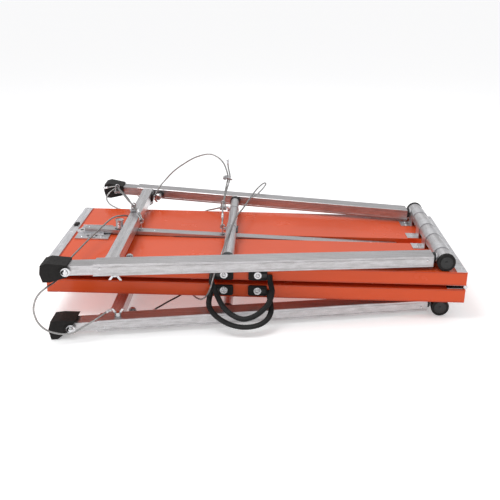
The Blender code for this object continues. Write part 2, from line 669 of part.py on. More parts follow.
def eye_bolt(name, swing, inset, height, turn):
    """Ring on a flanged stem, standing on the brace."""
    along = -(brace_pivot_x() - from_foot(inset)) / math.cos(brace_slope())
    top = BRACE_THICKNESS / 2
    place, spin = (along, 0, top), (0, 0, turn)
    ring_bottom = height - EYE_RING_RADIUS
    profile = [
        (TOUCH, EYE_FLANGE_RADIUS), (TOUCH + EYE_FLANGE_HEIGHT, EYE_FLANGE_RADIUS),
        (TOUCH + EYE_FLANGE_HEIGHT, EYE_WIRE_RADIUS), (ring_bottom, EYE_WIRE_RADIUS),
    ]
    bolt = put(name, turned(profile, "z", 16), BLACK, swing, place, spin, smooth=True)
    shape = bmesh.new()
    rings = []
    for i in range(20):
        t = 2 * math.pi * i / 20
        ring = []
        for k in range(10):
            u = 2 * math.pi * k / 10
            r = EYE_RING_RADIUS + EYE_WIRE_RADIUS * math.cos(u)
            ring.append(shape.verts.new(
                (r * math.cos(t), EYE_WIRE_RADIUS * math.sin(u), height + r * math.sin(t))))
        rings.append(ring)
    for lower, upper in zip(rings, rings[1:] + rings[:1]):
        for i in range(10):
            j = (i + 1) % 10
            shape.faces.new((lower[i], lower[j], upper[j], upper[i]))
    fuse(bolt, tool(name + "_ring", shape, swing, place, spin))


# ---- wire ropes -------------------------------------------------------------------------
def rope(name, points, parent):
    """Round rope along a smooth curve through its route."""
    route = smooth_route([Vector(point) for point in points], 2)
    curve = bpy.data.curves.new(name, "CURVE")
    curve.dimensions = "3D"
    curve.bevel_depth = ROPE_RADIUS
    curve.bevel_resolution = 2
    curve.use_fill_caps = True
    line = curve.splines.new("POLY")
    line.points.add(len(route) - 1)
    for place, point in zip(line.points, route):
        place.co = (*point, 1.0)
    curve.materials.append(CABLE)
    thing = bpy.data.objects.new(name, curve)
    bpy.context.collection.objects.link(thing)
    thing.parent = parent
    return thing


# ---- leg frame --------------------------------------------------------------------------
def rail_y(x, side):
    """Centre line of a rail, in the leg frame."""
    return side * (RAIL_ROOT - RAIL_SPLAY * x)


def slanted(x0, x1, side, half_width, z0, z1):
    """Solid bar that follows a rail's splay, its ends square to the board."""
    points = [
        (x0, rail_y(x0, side) - half_width), (x1, rail_y(x1, side) - half_width),
        (x1, rail_y(x1, side) + half_width), (x0, rail_y(x0, side) + half_width),
    ]
    return prism(points, z0 - RAIL_DROP, z1 - RAIL_DROP)


def splay_angle(side):
    """Turn about z that lines +x up with a rail, pointing from its foot to the tube."""
    return -side * math.atan(RAIL_SPLAY)


def seen_end(prefix, side):
    """The end's name as the folded stretcher stands: the turned-over half has its near at +y."""
    return "near" if (side < 0) == (prefix == "upper") else "far"


def pivot_tube(prefix, frame):
    """Hollow tube with a short neck for each rail, and a cap on each end."""
    reach = HALF_WIDTH - TUBE_END_INSET - CAP_THICKNESS - TOUCH
    tube = put(prefix + "_pivot_tube", rod(TUBE_RADIUS, -reach, reach, "y", 32), ALUMINIUM,
               frame, smooth=True)
    for side in (-1, 1):
        end = seen_end(prefix, side)
        start = -math.sqrt(TUBE_RADIUS ** 2 - NECK_RADIUS ** 2) + OVERLAP
        neck = rod(NECK_RADIUS, RAIL_TUBE_END + TOUCH, start, "x", 20)
        y = side * (RAIL_ROOT + NECK_TO_STRAP / 2)
        fuse(tube, tool(f"{prefix}_tube_neck_{end}", neck, frame, (0, y, 0)))
    bore = rod(TUBE_RADIUS - TUBE_WALL, -reach - OVERLAP, reach + OVERLAP, "y", 32)
    cut(tube, tool(prefix + "_tube_bore", bore, frame))
    for side in (-1, 1):
        end = seen_end(prefix, side)
        spigot = TUBE_RADIUS - TUBE_WALL - TOUCH * 2
        inner = side * (HALF_WIDTH - TUBE_END_INSET - CAP_THICKNESS)
        profile = [
            (inner - side * CAP_SPIGOT, spigot), (inner, spigot), (inner, CAP_RADIUS),
            (inner + side * CAP_THICKNESS * 0.8, CAP_RADIUS),
            (inner + side * CAP_THICKNESS, CAP_RADIUS - CAP_THICKNESS * 0.2),
        ]
        put(f"{prefix}_tube_cap_{end}", turned(profile, "y", 32), BLACK, frame, smooth=True)
    return tube


def rail(prefix, frame, side, end):
    """Hollow rail, open at its foot end, with a plunger bush and a clamp-bolt hole."""
    x0, x1 = in_frame(RAIL_FOOT_INSET), RAIL_TUBE_END
    h = RAIL_HEIGHT / 2
    name = f"{prefix}_rail_{end}"
    bar = put(name, slanted(x0, x1, side, RAIL_HALF, -h, h), ALUMINIUM, frame)
    px = in_frame(PLUNGER_INSET)
    face = (px, rail_y(px, side) - side * RAIL_HALF, -RAIL_DROP)
    turn = (0, 0, splay_angle(side))
    bush = rod(PLUNGER_BUSH_RADIUS, side * OVERLAP, -side * PLUNGER_BUSH_LENGTH, "y", 20)
    fuse(bar, tool(name + "_bush", bush, frame, face, turn))
    stem = rod(PLUNGER_STEM_RADIUS + RUN_CLEAR, side * TOUCH,
               -side * (PLUNGER_BUSH_LENGTH + OVERLAP), "y", 20)
    cut(bar, tool(name + "_bush_bore", stem, frame, face, turn))
    pin = rod(PLUNGER_PIN_RADIUS + RUN_CLEAR, side * (RAIL_WALL + OVERLAP), 0, "y", 20)
    cut(bar, tool(name + "_pin_hole", pin, frame, face, turn))
    wx = in_frame(WING_INSET)
    bolt = rod(BOLT_RADIUS + RUN_CLEAR, -h - RAIL_DROP - OVERLAP, 0, "z", 16)
    cut(bar, tool(name + "_bolt_hole", bolt, frame, (wx, rail_y(wx, side), 0)))
    inside = slanted(x0 - OVERLAP, x1 - RAIL_SOLID_END, side, BORE_HALF,
                     -h + RAIL_WALL, h - RAIL_WALL)
    cut(bar, tool(name + "_bore", inside, frame))
    return bar


def plunger(prefix, frame, side, end):
    """Spring plunger through the rail's inner wall; it pulls towards the middle."""
    px = in_frame(PLUNGER_INSET)
    face = (px, rail_y(px, side) - side * RAIL_HALF, -RAIL_DROP)
    s = -side
    neck = PLUNGER_BUSH_LENGTH + PLUNGER_NECK_LENGTH
    knob = neck + PLUNGER_KNOB_LENGTH
    stem_start = TOUCH
    profile = [
        (-s * RAIL_WALL * 0.7, PLUNGER_PIN_RADIUS), (s * stem_start, PLUNGER_PIN_RADIUS),
        (s * stem_start, PLUNGER_STEM_RADIUS), (s * neck, PLUNGER_STEM_RADIUS),
        (s * neck, PLUNGER_KNOB_RADIUS), (s * knob * 0.93, PLUNGER_KNOB_RADIUS),
        (s * knob, PLUNGER_KNOB_RADIUS * 0.75),
    ]
    put(f"{prefix}_plunger_{end}", turned(profile, "y", 20), BRIGHT, frame, face,
        (0, 0, splay_angle(side)), smooth=True)


def wing_bolt(prefix, frame, side, end):
    """Wing bolt that clamps the telescoping leg, on the board side of the rail."""
    wx = in_frame(WING_INSET)
    under = -RAIL_HEIGHT / 2 - RAIL_DROP
    place = (wx, rail_y(wx, side), under)
    foot = -TOUCH - WING_HUB_HEIGHT
    profile = [
        (RAIL_WALL * 0.7, BOLT_RADIUS), (-TOUCH, BOLT_RADIUS), (-TOUCH, WING_HUB_RADIUS),
        (foot, WING_HUB_RADIUS * 0.8),
    ]
    name = f"{prefix}_wing_bolt_{end}"
    bolt = put(name, turned(profile, "z", 16), BRIGHT, frame, place, smooth=True)
    tip = foot - WING_REACH * 0.55
    half = WING_SPAN / 2
    outline = [
        (-half, tip), (-half * 0.62, tip), (-WING_HUB_RADIUS * 0.35, foot + OVERLAP / 2),
        (WING_HUB_RADIUS * 0.35, foot + OVERLAP / 2), (half * 0.62, tip), (half, tip),
        (WING_HUB_RADIUS * 0.7, -TOUCH - WING_HUB_HEIGHT * 0.45),
        (-WING_HUB_RADIUS * 0.7, -TOUCH - WING_HUB_HEIGHT * 0.45),
    ]
    wings = prism(outline, -WING_THICKNESS / 2, WING_THICKNESS / 2, "y")
    fuse(bolt, tool(name + "_wings", wings, frame, place))


def leg(prefix, frame, side, end, outline):
    """Telescoping leg with its rubber shoe, which slide together along the rail."""
    push = UPPER_FAR_LEG_IN if (prefix, end) == ("upper", "far") else 0.0
    outline = [(x + push, z) for x, z in outline]
    x0 = in_frame(LEG_FOOT_INSET + push)
    x1 = x0 + LEG_LENGTH
    h = LEG_HALF_HEIGHT
    tube = put(f"{prefix}_leg_{end}", slanted(x0, x1, side, LEG_HALF, -h, h), ALUMINIUM, frame)
    bore = slanted(x0 - OVERLAP, x1 + OVERLAP, side, LEG_HALF - LEG_WALL,
                   -h + LEG_WALL, h - LEG_WALL)
    cut(tube, tool(f"{prefix}_leg_{end}_bore", bore, frame))
    shoe(f"{prefix}_shoe_{end}", frame, side, outline, x0, SHOE_WASHER_X + push)


def shoe(name, frame, side, outline, leg_end, washer_x):
    points = [(in_frame(x), z - RAIL_DROP) for x, z in outline]
    shape = prism(
        points, lambda x: rail_y(x, side) - SHOE_HALF_WIDTH,
        lambda x: rail_y(x, side) + SHOE_HALF_WIDTH, "y",
    )
    boot = put(name, shape, BLACK, frame)
    wx = in_frame(washer_x)
    cheek = (wx, rail_y(wx, side) + side * SHOE_HALF_WIDTH, -RAIL_DROP)
    t = SHOE_WASHER_THICKNESS
    profile = [
        (-side * OVERLAP * 4, SHOE_WASHER_RADIUS), (side * t, SHOE_WASHER_RADIUS),
        (side * t, SHOE_SCREW_RADIUS), (side * (t + SHOE_SCREW_HEIGHT), SHOE_SCREW_RADIUS * 0.8),
    ]
    screw = turned(profile, "y", 20)
    fuse(boot, tool(name + "_screw", screw, frame, cheek, (0, 0, splay_angle(side))))
    h = LEG_HALF_HEIGHT + TOUCH
    far_x = in_frame(max(x for x, _ in outline)) + 0.02
    pocket = slanted(leg_end - TOUCH, far_x, side, LEG_HALF + TOUCH, -h, h)
    cut(boot, tool(name + "_pocket", pocket, frame))
    return boot


def crossbars(prefix, frame):
    """Square bar near the feet and round bar half way, between the rails' inner faces."""
    def face(x, side):
        return rail_y(x, side) - side * (RAIL_HALF + TOUCH)

    x = in_frame(SQUARE_BAR_INSET)
    a, b = x - SQUARE_BAR / 2, x + SQUARE_BAR / 2
    points = [(a, face(a, -1)), (b, face(b, -1)), (b, face(b, 1)), (a, face(a, 1))]
    h = SQUARE_BAR / 2
    put(prefix + "_square_bar", prism(points, -h - RAIL_DROP, h - RAIL_DROP), ALUMINIUM, frame)

    x = in_frame(ROUND_BAR_INSET)
    shape = bmesh.new()
    segments = 24
    rings = []
    for place, radius in (
        ("near", SLEEVE_RADIUS), (SLEEVE_END, SLEEVE_RADIUS), (SLEEVE_END, ROUND_BAR_RADIUS),
        ("far", ROUND_BAR_RADIUS),
    ):
        ring = []
        for i in range(segments):
            t = 2 * math.pi * i / segments
            vx = x + radius * math.cos(t)
            y = face(vx, -1) if place == "near" else face(vx, 1) if place == "far" else place
            ring.append(shape.verts.new((vx, y, radius * math.sin(t) - RAIL_DROP)))
        rings.append(ring)
    skin(shape, rings)
    put(prefix + "_round_bar", shape, ALUMINIUM, frame, smooth=True)


def leg_frame(prefix, half, shift, tilt, shoe_outline):
    frame = empty(prefix + "_frame_swing", half, (TUBE_X, shift, TUBE_Z), (0, tilt, 0))
    pivot_tube(prefix, frame)
    crossbars(prefix, frame)
    for side in (-1, 1):
        end = seen_end(prefix, side)
        rail(prefix, frame, side, end)
        plunger(prefix, frame, side, end)
        wing_bolt(prefix, frame, side, end)
        leg(prefix, frame, side, end, shoe_outline)
    return frame


# ---- standing on the floor --------------------------------------------------------------
def shoe_corners(outline, tilt):
    """Corners of a shoe's side outline, as (x, z) in its half."""
    corners = []
    for x, z in outline:
        fx, fz = in_frame(x), z - RAIL_DROP
        corners.append((TUBE_X + fx * math.cos(tilt) + fz * math.sin(tilt),
                        TUBE_Z - fx * math.sin(tilt) + fz * math.cos(tilt)))
    return corners


def floor_lean():
    """Angle by which the folded boards tip so that shoes and tube caps share the floor."""
    best = -1.0
    for x, z in shoe_corners(LOWER_SHOE, LOWER_FRAME_TILT):
        dx, dz = TUBE_X - x, z - TUBE_Z
        best = max(best, math.acos(CAP_RADIUS / math.hypot(dx, dz)) - math.atan2(dx, dz))
    return best


LEAN = floor_lean()


def build():
    stand = empty("stand", None, (0, 0, 0), (0, 0, 0))
    upper = empty("upper_half", stand)
    lower = empty("lower_half", stand, rotation=(math.pi, 0, 0))
    for prefix, half, side, shift, tilt, outline, loop, lean, first in (
        ("upper", upper, -1, UPPER_FRAME_SHIFT, UPPER_FRAME_TILT, UPPER_SHOE, UPPER_LOOP,
         UPPER_HANDLE_LEAN, 0),
        ("lower", lower, 1, LOWER_FRAME_SHIFT, LOWER_FRAME_TILT, LOWER_SHOE, LOWER_LOOP,
         LOWER_HANDLE_LEAN, 1),
    ):
        panel(prefix + "_panel", half)
        foot_strip(prefix + "_foot_strip", half)
        saddle(prefix + "_saddle", half, shift)
        hinge_leaf(prefix + "_hinge_leaf", half, first)
        latch_plate(prefix + "_latch_plate", half)
        swing = brace(prefix, half)
        if prefix == "upper":
            eye_bolt("foot_eye_bolt", swing, FOOT_EYE_INSET, FOOT_EYE_HEIGHT, FOOT_EYE_TURN)
            eye_bolt("middle_eye_bolt", swing, MIDDLE_EYE_INSET, MIDDLE_EYE_HEIGHT,
                     MIDDLE_EYE_TURN)
        handle_pads(prefix, half, side)
        handle(prefix + "_handle", half, side, loop, lean)
        leg_frame(prefix, half, shift, tilt, outline)
    y = HALF_WIDTH - HINGE_END_INSET
    put("hinge_pin", rod(HINGE_PIN_RADIUS, -y, y, "y"), BRIGHT, stand, smooth=True)
    for name, points in ROPE_ROUTES.items():
        rope(name, points, stand)
    settle(stand)


def settle(stand):
    """Tip the folded stretcher onto the floor and put the origin under the middle of its box.

    The loose ropes don't count in that box.
    """
    stand.rotation_euler = (0, LEAN, 0)
    bpy.context.view_layer.update()
    graph = bpy.context.evaluated_depsgraph_get()
    low, high = Vector((9, 9, 9)), Vector((-9, -9, -9))
    for thing in bpy.data.objects:
        if thing.type != "MESH" or thing.hide_render:
            continue
        evaluated = thing.evaluated_get(graph)
        mesh = evaluated.to_mesh()
        for vertex in mesh.vertices:
            point = evaluated.matrix_world @ vertex.co
            low = Vector(map(min, low, point))
            high = Vector(map(max, high, point))
        evaluated.to_mesh_clear()
    stand.location = (-(low.x + high.x) / 2, -(low.y + high.y) / 2, -low.z)


build()
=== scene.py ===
"""Folding stretcher: camera, ropes, fittings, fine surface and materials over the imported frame."""
import json
import math

import bmesh
import bpy
from mathutils import Matrix, Vector


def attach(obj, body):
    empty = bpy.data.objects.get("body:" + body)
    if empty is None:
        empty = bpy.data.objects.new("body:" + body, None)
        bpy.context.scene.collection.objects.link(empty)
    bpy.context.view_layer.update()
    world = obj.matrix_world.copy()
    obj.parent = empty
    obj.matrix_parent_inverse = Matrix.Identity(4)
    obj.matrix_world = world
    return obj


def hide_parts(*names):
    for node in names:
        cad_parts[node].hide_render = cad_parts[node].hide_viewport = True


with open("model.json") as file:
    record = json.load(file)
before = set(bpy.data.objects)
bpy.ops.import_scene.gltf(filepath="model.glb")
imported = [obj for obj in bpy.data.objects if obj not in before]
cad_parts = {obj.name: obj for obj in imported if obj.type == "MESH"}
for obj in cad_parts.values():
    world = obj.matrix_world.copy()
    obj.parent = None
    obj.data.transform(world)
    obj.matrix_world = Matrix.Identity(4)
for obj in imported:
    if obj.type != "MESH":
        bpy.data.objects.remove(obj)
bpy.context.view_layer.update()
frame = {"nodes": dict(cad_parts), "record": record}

V = Vector
NODES = frame["nodes"]
JOINTS = {j["name"]: j for j in frame["record"]["behaviour"]["joints"]}


# ---- places, taken from the record's joints ----------------------------------------------
def axes(origin, x, y, z):
    turn = Matrix((x, y, z)).transposed().to_4x4()
    return Matrix.Translation(V(origin)) @ turn


X = -V(JOINTS["upper_handle_swing"]["axis"]).normalized()
Y = V((0, 1, 0))
STAND = axes(JOINTS["board_fold"]["pos_m"], X, Y, X.cross(Y))
HALF = {"upper": STAND, "lower": STAND @ Matrix.Rotation(math.pi, 4, "X")}


def frame_axes(prefix):
    legs = [V(JOINTS[f"{prefix}_leg_slide_{end}"]["axis"]) for end in ("near", "far")]
    x = -(legs[0] + legs[1]).normalized()
    y = Y if prefix == "upper" else -Y
    return axes(JOINTS[prefix + "_frame_swing"]["pos_m"], x, y, x.cross(y))


def brace_axes(prefix):
    z = V(JOINTS[prefix + "_knob_pull"]["axis"]).normalized()
    y = Y if prefix == "upper" else -Y
    return axes(JOINTS[prefix + "_brace_swing"]["pos_m"], y.cross(z), y, z)


FRAME = {p: frame_axes(p) for p in HALF}
BRACE = {p: brace_axes(p) for p in HALF}
FOOT_END, TUBE_X = -1.0005, -0.0515
HALF_WIDTH, OUTER_FACE = 0.2145, 0.0385
BOARD_THICKNESS = 0.033
CLEAR = 0.0003              # between faces that bear on each other
EDGE_MIDDLE = 0.0185        # handle screws' depth under the outer face
RAIL_DROP = 0.0012
RAIL_ROOT = 0.1745          # rail's middle at the pivot tube
SPLAY = 0.1697
RAIL_FOOT_INSET = 0.1405
RAIL_HINGE_END = -0.029
SQUARE_BAR_INSET = 0.174    # these insets are from the board's foot end
ROUND_BAR_INSET = 0.434
PLUNGER_INSET = 0.213
SHOE_SCREW_INSET = 0.079
KNOB_INSET = 0.139
UPPER_FAR_LEG_IN = 0.010    # how much further in the upper far leg is pushed
ROUND_BAR_RADIUS, SLEEVE_RADIUS, SLEEVE_END = 0.0120, 0.0138, 0.0135
HANDLE_X = -0.5355
HANDLE_SCREW_X = 0.04025    # each side of the handle's middle
BRACE_PIVOT_X = -0.1385
BRACE_SLOPE = 1.0005        # length along the brace over length along the board
BRACE_TOP = 0.0045
LATCH_TOP = OUTER_FACE + CLEAR + 0.003


def rail_y(x, side):
    """Rail's middle in the leg frame."""
    return side * (RAIL_ROOT - SPLAY * x)


def in_frame(inset):
    return FOOT_END + inset - TUBE_X


def along_brace(inset):
    return -(BRACE_PIVOT_X - (FOOT_END + inset)) * BRACE_SLOPE


def side_of(prefix, end):
    """-1 or 1: which side of its own half an end is on."""
    near = -1 if prefix == "upper" else 1
    return near if end == "near" else -near


# ---- camera and light ----------------------------------------------------------------------
def camera():
    pitch, roll, yaw = math.radians(20.50), math.radians(1.27), math.radians(0.65)
    spin = Matrix.Rotation(yaw, 3, "Z")
    forward = spin @ V((0, math.cos(pitch), -math.sin(pitch)))
    right = spin @ V((1, 0, 0))
    up = right.cross(forward)
    r2 = math.cos(roll) * right + math.sin(roll) * up
    u2 = -math.sin(roll) * right + math.cos(roll) * up
    eye = axes((-0.4963, -1.8738, 0.7022), r2, u2, -forward)
    data = bpy.data.cameras.new("view")
    data.lens, data.sensor_width = 54.42, 36
    data.clip_end = 200
    cam = bpy.data.objects.new("view", data)
    bpy.context.collection.objects.link(cam)
    cam.matrix_world = STAND @ eye
    bpy.context.scene.camera = cam


def area(name, place, target, size, power):
    data = bpy.data.lights.new(name, "AREA")
    data.size, data.energy = size, power
    lamp = bpy.data.objects.new(name, data)
    bpy.context.collection.objects.link(lamp)
    lamp.location = place
    lamp.rotation_euler = (V(target) - V(place)).to_track_quat("-Z", "Y").to_euler()


def studio():
    world = bpy.data.worlds.new("studio")
    bpy.context.scene.world = world
    world.use_nodes = True
    back = world.node_tree.nodes["Background"]
    tree = world.node_tree
    coords = tree.nodes.new("ShaderNodeTexCoord")
    split = tree.nodes.new("ShaderNodeSeparateXYZ")
    sky = tree.nodes.new("ShaderNodeValToRGB")
    tree.links.new(coords.outputs["Generated"], split.inputs["Vector"])
    tree.links.new(split.outputs["Z"], sky.inputs["Fac"])
    tree.links.new(sky.outputs["Color"], back.inputs["Color"])
    stops = ((0.0, 0.80), (0.12, 0.68), (0.28, 0.58), (0.55, 0.86), (1.0, 1.0))
    while len(sky.color_ramp.elements) < len(stops):
        sky.color_ramp.elements.new(0.5)
    for element, (where, grey) in zip(sky.color_ramp.elements, stops):
        element.position = where
        element.color = (grey, grey, grey * 1.01, 1)
    back.inputs["Strength"].default_value = 0.82
    area("key", (-0.9, -0.3, 2.3), (0, 0, 0.1), 1.3, 26)
    area("rim", (0.2, 2.2, 2.2), (0, 0, 0.1), 2.0, 5)
    bpy.context.scene.view_settings.view_transform = "Standard"
    mesh = bpy.data.meshes.new("floor")
    s = 60
    mesh.from_pydata([(-s, -s, 0), (s, -s, 0), (s, s, 0), (-s, s, 0)], [], [(0, 1, 2, 3)])
    floor = bpy.data.objects.new("floor", mesh)
    bpy.context.collection.objects.link(floor)
    floor.location.z = -0.0006
    mat = bpy.data.materials.new("floor")
    mat.use_nodes = True
    shader = mat.node_tree.nodes["Principled BSDF"]
    shader.inputs["Base Color"].default_value = (0.90, 0.90, 0.90, 1)
    shader.inputs["Roughness"].default_value = 0.9
    shader.inputs["Emission Color"].default_value = (1, 1, 1, 1)
    shader.inputs["Emission Strength"].default_value = 0.31
    mesh.materials.append(mat)


# ---- materials -----------------------------------------------------------------------------
class Nodes:
    """A material's node tree, with short ways to add and link nodes."""

    def __init__(self, name):
        self.mat = bpy.data.materials.new(name)
        self.mat.use_nodes = True
        self.tree = self.mat.node_tree
        self.shader = self.tree.nodes["Principled BSDF"]

    def add(self, kind, **values):
        node = self.tree.nodes.new("ShaderNode" + kind)
        for key, value in values.items():
            if key in node.inputs:
                node.inputs[key].default_value = value
            else:
                setattr(node, key.lower().replace(" ", "_"), value)
        return node

    def link(self, a, b):
        self.tree.links.new(a, b)

    def place(self, stretch=(1, 1, 1)):
        coords = self.add("TexCoord")
        mapping = self.add("Mapping", Scale=stretch)
        self.link(coords.outputs["Object"], mapping.inputs["Vector"])
        return mapping.outputs["Vector"]

    def noise(self, scale, stretch=(1, 1, 1), detail=4.0, rough=0.5):
        node = self.add("TexNoise", Scale=scale, Detail=detail, Roughness=rough)
        self.link(self.place(stretch), node.inputs["Vector"])
        return node.outputs["Fac"]

    def ramp(self, source, *stops):
        node = self.add("ValToRGB")
        band = node.color_ramp
        while len(band.elements) < len(stops):
            band.elements.new(0.5)
        for element, (where, colour) in zip(band.elements, stops):
            element.position = where
            element.color = (*colour, 1) if len(colour) == 3 else colour
        self.link(source, node.inputs["Fac"])
        return node.outputs["Color"]

    def mix(self, factor, a, b, mode="MIX"):
        node = self.add("Mix", data_type="RGBA", blend_type=mode)
        for socket, value in zip((node.inputs[0], node.inputs[6], node.inputs[7]), (factor, a, b)):
            if isinstance(value, bpy.types.NodeSocket):
                self.link(value, socket)
            else:
                socket.default_value = value if isinstance(value, float) else (*value, 1)
        return node.outputs[2]

    def span(self, source, low, high, lo=0.0, hi=1.0):
        node = self.add("MapRange")
        for key, value in (("From Min", lo), ("From Max", hi), ("To Min", low), ("To Max", high)):
            node.inputs[key].default_value = value
        self.link(source, node.inputs["Value"])
        return node.outputs["Result"]

    def bump(self, source, strength, distance=0.001):
        node = self.add("Bump", Strength=strength, Distance=distance)
        if self.shader.inputs["Normal"].is_linked:
            self.link(self.shader.inputs["Normal"].links[0].from_socket, node.inputs["Normal"])
        self.link(source, node.inputs["Height"])
        self.link(node.outputs["Normal"], self.shader.inputs["Normal"])


def scaled(colour, k):
    return tuple(min(1.0, c * k) for c in colour)


def surface(name, colour, rough, metal=0.0, grain=(1, 1, 1), scale=60.0, vary=0.08,
            bump=0.15, fine=900.0, coat=0.0, marks=0.0, spec=0.5):
    """Base colour with blotches, uneven roughness, fine bump and, if asked, worn scratches."""
    n = Nodes(name)
    cloud = n.noise(scale, grain)
    base = n.ramp(cloud, (0.3, scaled(colour, 1 - vary)), (0.7, scaled(colour, 1 + vary)))
    if marks:
        lines = n.noise(38.0, (1.2, 22, 22), 6.0, 0.7)
        worn = n.ramp(lines, (0.63, (0, 0, 0)), (0.70, (1, 1, 1)))
        patch = n.ramp(n.noise(9.0), (0.52, (0, 0, 0)), (0.66, (1, 1, 1)))
        both = n.mix(1.0, worn, patch, "MULTIPLY")
        shade = n.mix(marks, (0, 0, 0), both)
        base = n.mix(shade, base, scaled(colour, 1.5) if metal else (0.86, 0.47, 0.38))
    n.link(base, n.shader.inputs["Base Color"])
    wave = n.noise(scale * 1.7, grain, 5.0, 0.6)
    n.link(n.span(wave, max(rough - 0.09, 0.04), rough + 0.10, 0.3, 0.7),
           n.shader.inputs["Roughness"])
    n.shader.inputs["Metallic"].default_value = metal
    n.shader.inputs["Specular IOR Level"].default_value = spec
    if coat:
        n.shader.inputs["Coat Weight"].default_value = coat
        n.shader.inputs["Coat Roughness"].default_value = 0.07
    if bump:
        n.bump(n.noise(fine, grain, 3.0, 0.6), bump, 0.0004)
    return n.mat


def brushed(name, colour, rough, along=(3, 260, 260), marks=0.35):
    """Metal drawn or brushed along one direction, with faint scratches and handling marks."""
    n = Nodes(name)
    lines = n.noise(14.0, along, 6.0, 0.65)
    cloud = n.noise(7.0, (1, 1, 1), 3.0)
    base = n.ramp(lines, (0.34, scaled(colour, 0.74)), (0.66, scaled(colour, 1.16)))
    soft = n.ramp(cloud, (0.30, (0.93, 0.93, 0.94)), (0.65, (1.0, 1.0, 1.0)))
    base = n.mix(1.0, base, soft, "MULTIPLY")
    streak = n.noise(6.0, tuple(max(1.0, a / 9) for a in along), 5.0, 0.7)
    band = n.ramp(streak, (0.36, (0.80, 0.795, 0.79)), (0.62, (1.06, 1.06, 1.07)))
    base = n.mix(1.0, base, band, "MULTIPLY")
    nick = n.noise(52.0, (1, 1, 1), 8.0, 0.75)
    base = n.mix(n.mix(marks, (0, 0, 0), n.ramp(nick, (0.66, (0, 0, 0)), (0.76, (1, 1, 1)))),
                 base, scaled(colour, 0.55))
    n.link(base, n.shader.inputs["Base Color"])
    n.link(n.span(lines, rough - 0.08, rough + 0.12, 0.3, 0.7), n.shader.inputs["Roughness"])
    n.shader.inputs["Metallic"].default_value = 1.0
    n.bump(lines, 0.10, 0.0002)
    n.bump(nick, 0.05, 0.0003)
    return n.mat


ORANGE = surface("orange_gloss", (0.68, 0.083, 0.020), 0.21, vary=0.05, scale=6.0, bump=0.03,
                 fine=420.0, marks=0.10, spec=0.30)
# Darker orange for the slot wall, seams and edge lines: painted shade, standing in for the shade
# inside slots and grooves.
ORANGE_SLOT_SHADE = surface("orange_painted_slot_shade", (0.40, 0.045, 0.020), 0.38, vary=0.08, scale=30.0)
ALU = brushed("drawn_aluminium", (0.58, 0.567, 0.57), 0.34)
ALU_ACROSS = brushed("drawn_aluminium_across", (0.74, 0.73, 0.735), 0.32, (260, 3, 260))
STRIP = brushed("anodised_strip", (0.90, 0.89, 0.93), 0.42, (200, 3, 200), 0.5)
STEEL = brushed("bright_steel", (0.74, 0.74, 0.75), 0.22, (40, 40, 40), 0.2)
PLATE = brushed("plate_steel", (0.80, 0.80, 0.81), 0.34, (30, 240, 240), 0.4)
GALVANISED = brushed("galvanised_clip", (0.58, 0.58, 0.59), 0.34, (40, 40, 40), 0.5)
ZINC = brushed("zinc_fitting", (0.93, 0.93, 0.94), 0.30, (40, 40, 40), 0.3)
RUBBER = surface("black_rubber", (0.013, 0.0115, 0.011), 0.62, scale=120.0, vary=0.25, bump=0.35,
                 fine=1400.0, spec=0.22)
BLACK = surface("black_plastic", (0.012, 0.012, 0.012), 0.36, scale=80.0, vary=0.2, bump=0.12)
WEB = surface("ribbed_band", (0.010, 0.010, 0.010), 0.46, scale=200.0, vary=0.3, bump=0.25,
              fine=1800.0, spec=0.25)
ROPE = surface("wire_rope", (0.37, 0.365, 0.36), 0.38, 1.0, scale=260.0, vary=0.22, bump=0.2,
               fine=2600.0)
# Darker, less metallic copy of the wire rope for the run under the lower board: painted shade,
# because that run lies in shadow.
ROPE_IN_SHADE = surface("rope_painted_shade", (0.055, 0.052, 0.05), 0.45, 0.3, scale=260.0, vary=0.2)


# ---- shapes --------------------------------------------------------------------------------
def piece(name, bm, mat, body, where=None, sharp=38, replace=()):
    """A finished mesh that rides on a body; `where` takes its local shape to the frame."""
    if where is not None:
        bm.transform(where)
    bmesh.ops.recalc_face_normals(bm, faces=bm.faces)
    mesh = bpy.data.meshes.new(name)
    bm.to_mesh(mesh)
    bm.free()
    mesh.shade_smooth()
    mesh.set_sharp_from_angle(angle=math.radians(sharp))
    mesh.materials.append(mat)
    thing = bpy.data.objects.new(name, mesh)
    bpy.context.collection.objects.link(thing)
    if replace:
        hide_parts(*replace)
    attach(thing, body)
    return thing


def loft(bm, rings, closed=False):
    count = len(rings[0])
    pairs = list(zip(rings, rings[1:] + rings[:1])) if closed else list(zip(rings, rings[1:]))
    for lower, upper in pairs:
        for i in range(count):
            j = (i + 1) % count
            bm.faces.new((lower[i], lower[j], upper[j], upper[i]))
    if not closed:
        bm.faces.new(rings[0])
        bm.faces.new(rings[-1])


def lathe(profile, segments=28, bm=None, where=None):
    """Turned solid about z from (height, radius) pairs."""
    bm = bm or bmesh.new()
    rings = []
    for z, r in profile:
        ring = []
        for i in range(segments):
            t = 2 * math.pi * i / segments
            co = V((r * math.cos(t), r * math.sin(t), z))
            ring.append(bm.verts.new(where @ co if where else co))
        rings.append(ring)
    loft(bm, rings)
    return bm


def rounded(x, y, z, edge, bm=None, where=None, segments=2):
    """Box centred on the origin with rounded edges."""
    own = bmesh.new()
    bmesh.ops.create_cube(own, size=1.0, matrix=Matrix.Diagonal((x, y, z, 1)))
    bmesh.ops.bevel(own, geom=own.edges[:], offset=edge, segments=segments, affect="EDGES",
                    profile=0.5)
    if where:
        own.transform(where)
    if bm is None:
        return own
    merge(bm, own)
    return bm


def merge(bm, other):
    """Copy a bmesh into another and free it."""
    seen = {v: bm.verts.new(v.co) for v in other.verts}
    for face in other.faces:
        bm.faces.new([seen[v] for v in face.verts])
    other.free()


def hexagon(radius, height, bm=None, where=None):
    """Hexagon nut or head standing on z = 0, its corners eased."""
    return lathe([(0, radius * 0.94), (height * 0.12, radius), (height * 0.85, radius),
                  (height, radius * 0.86)], 6, bm, where)


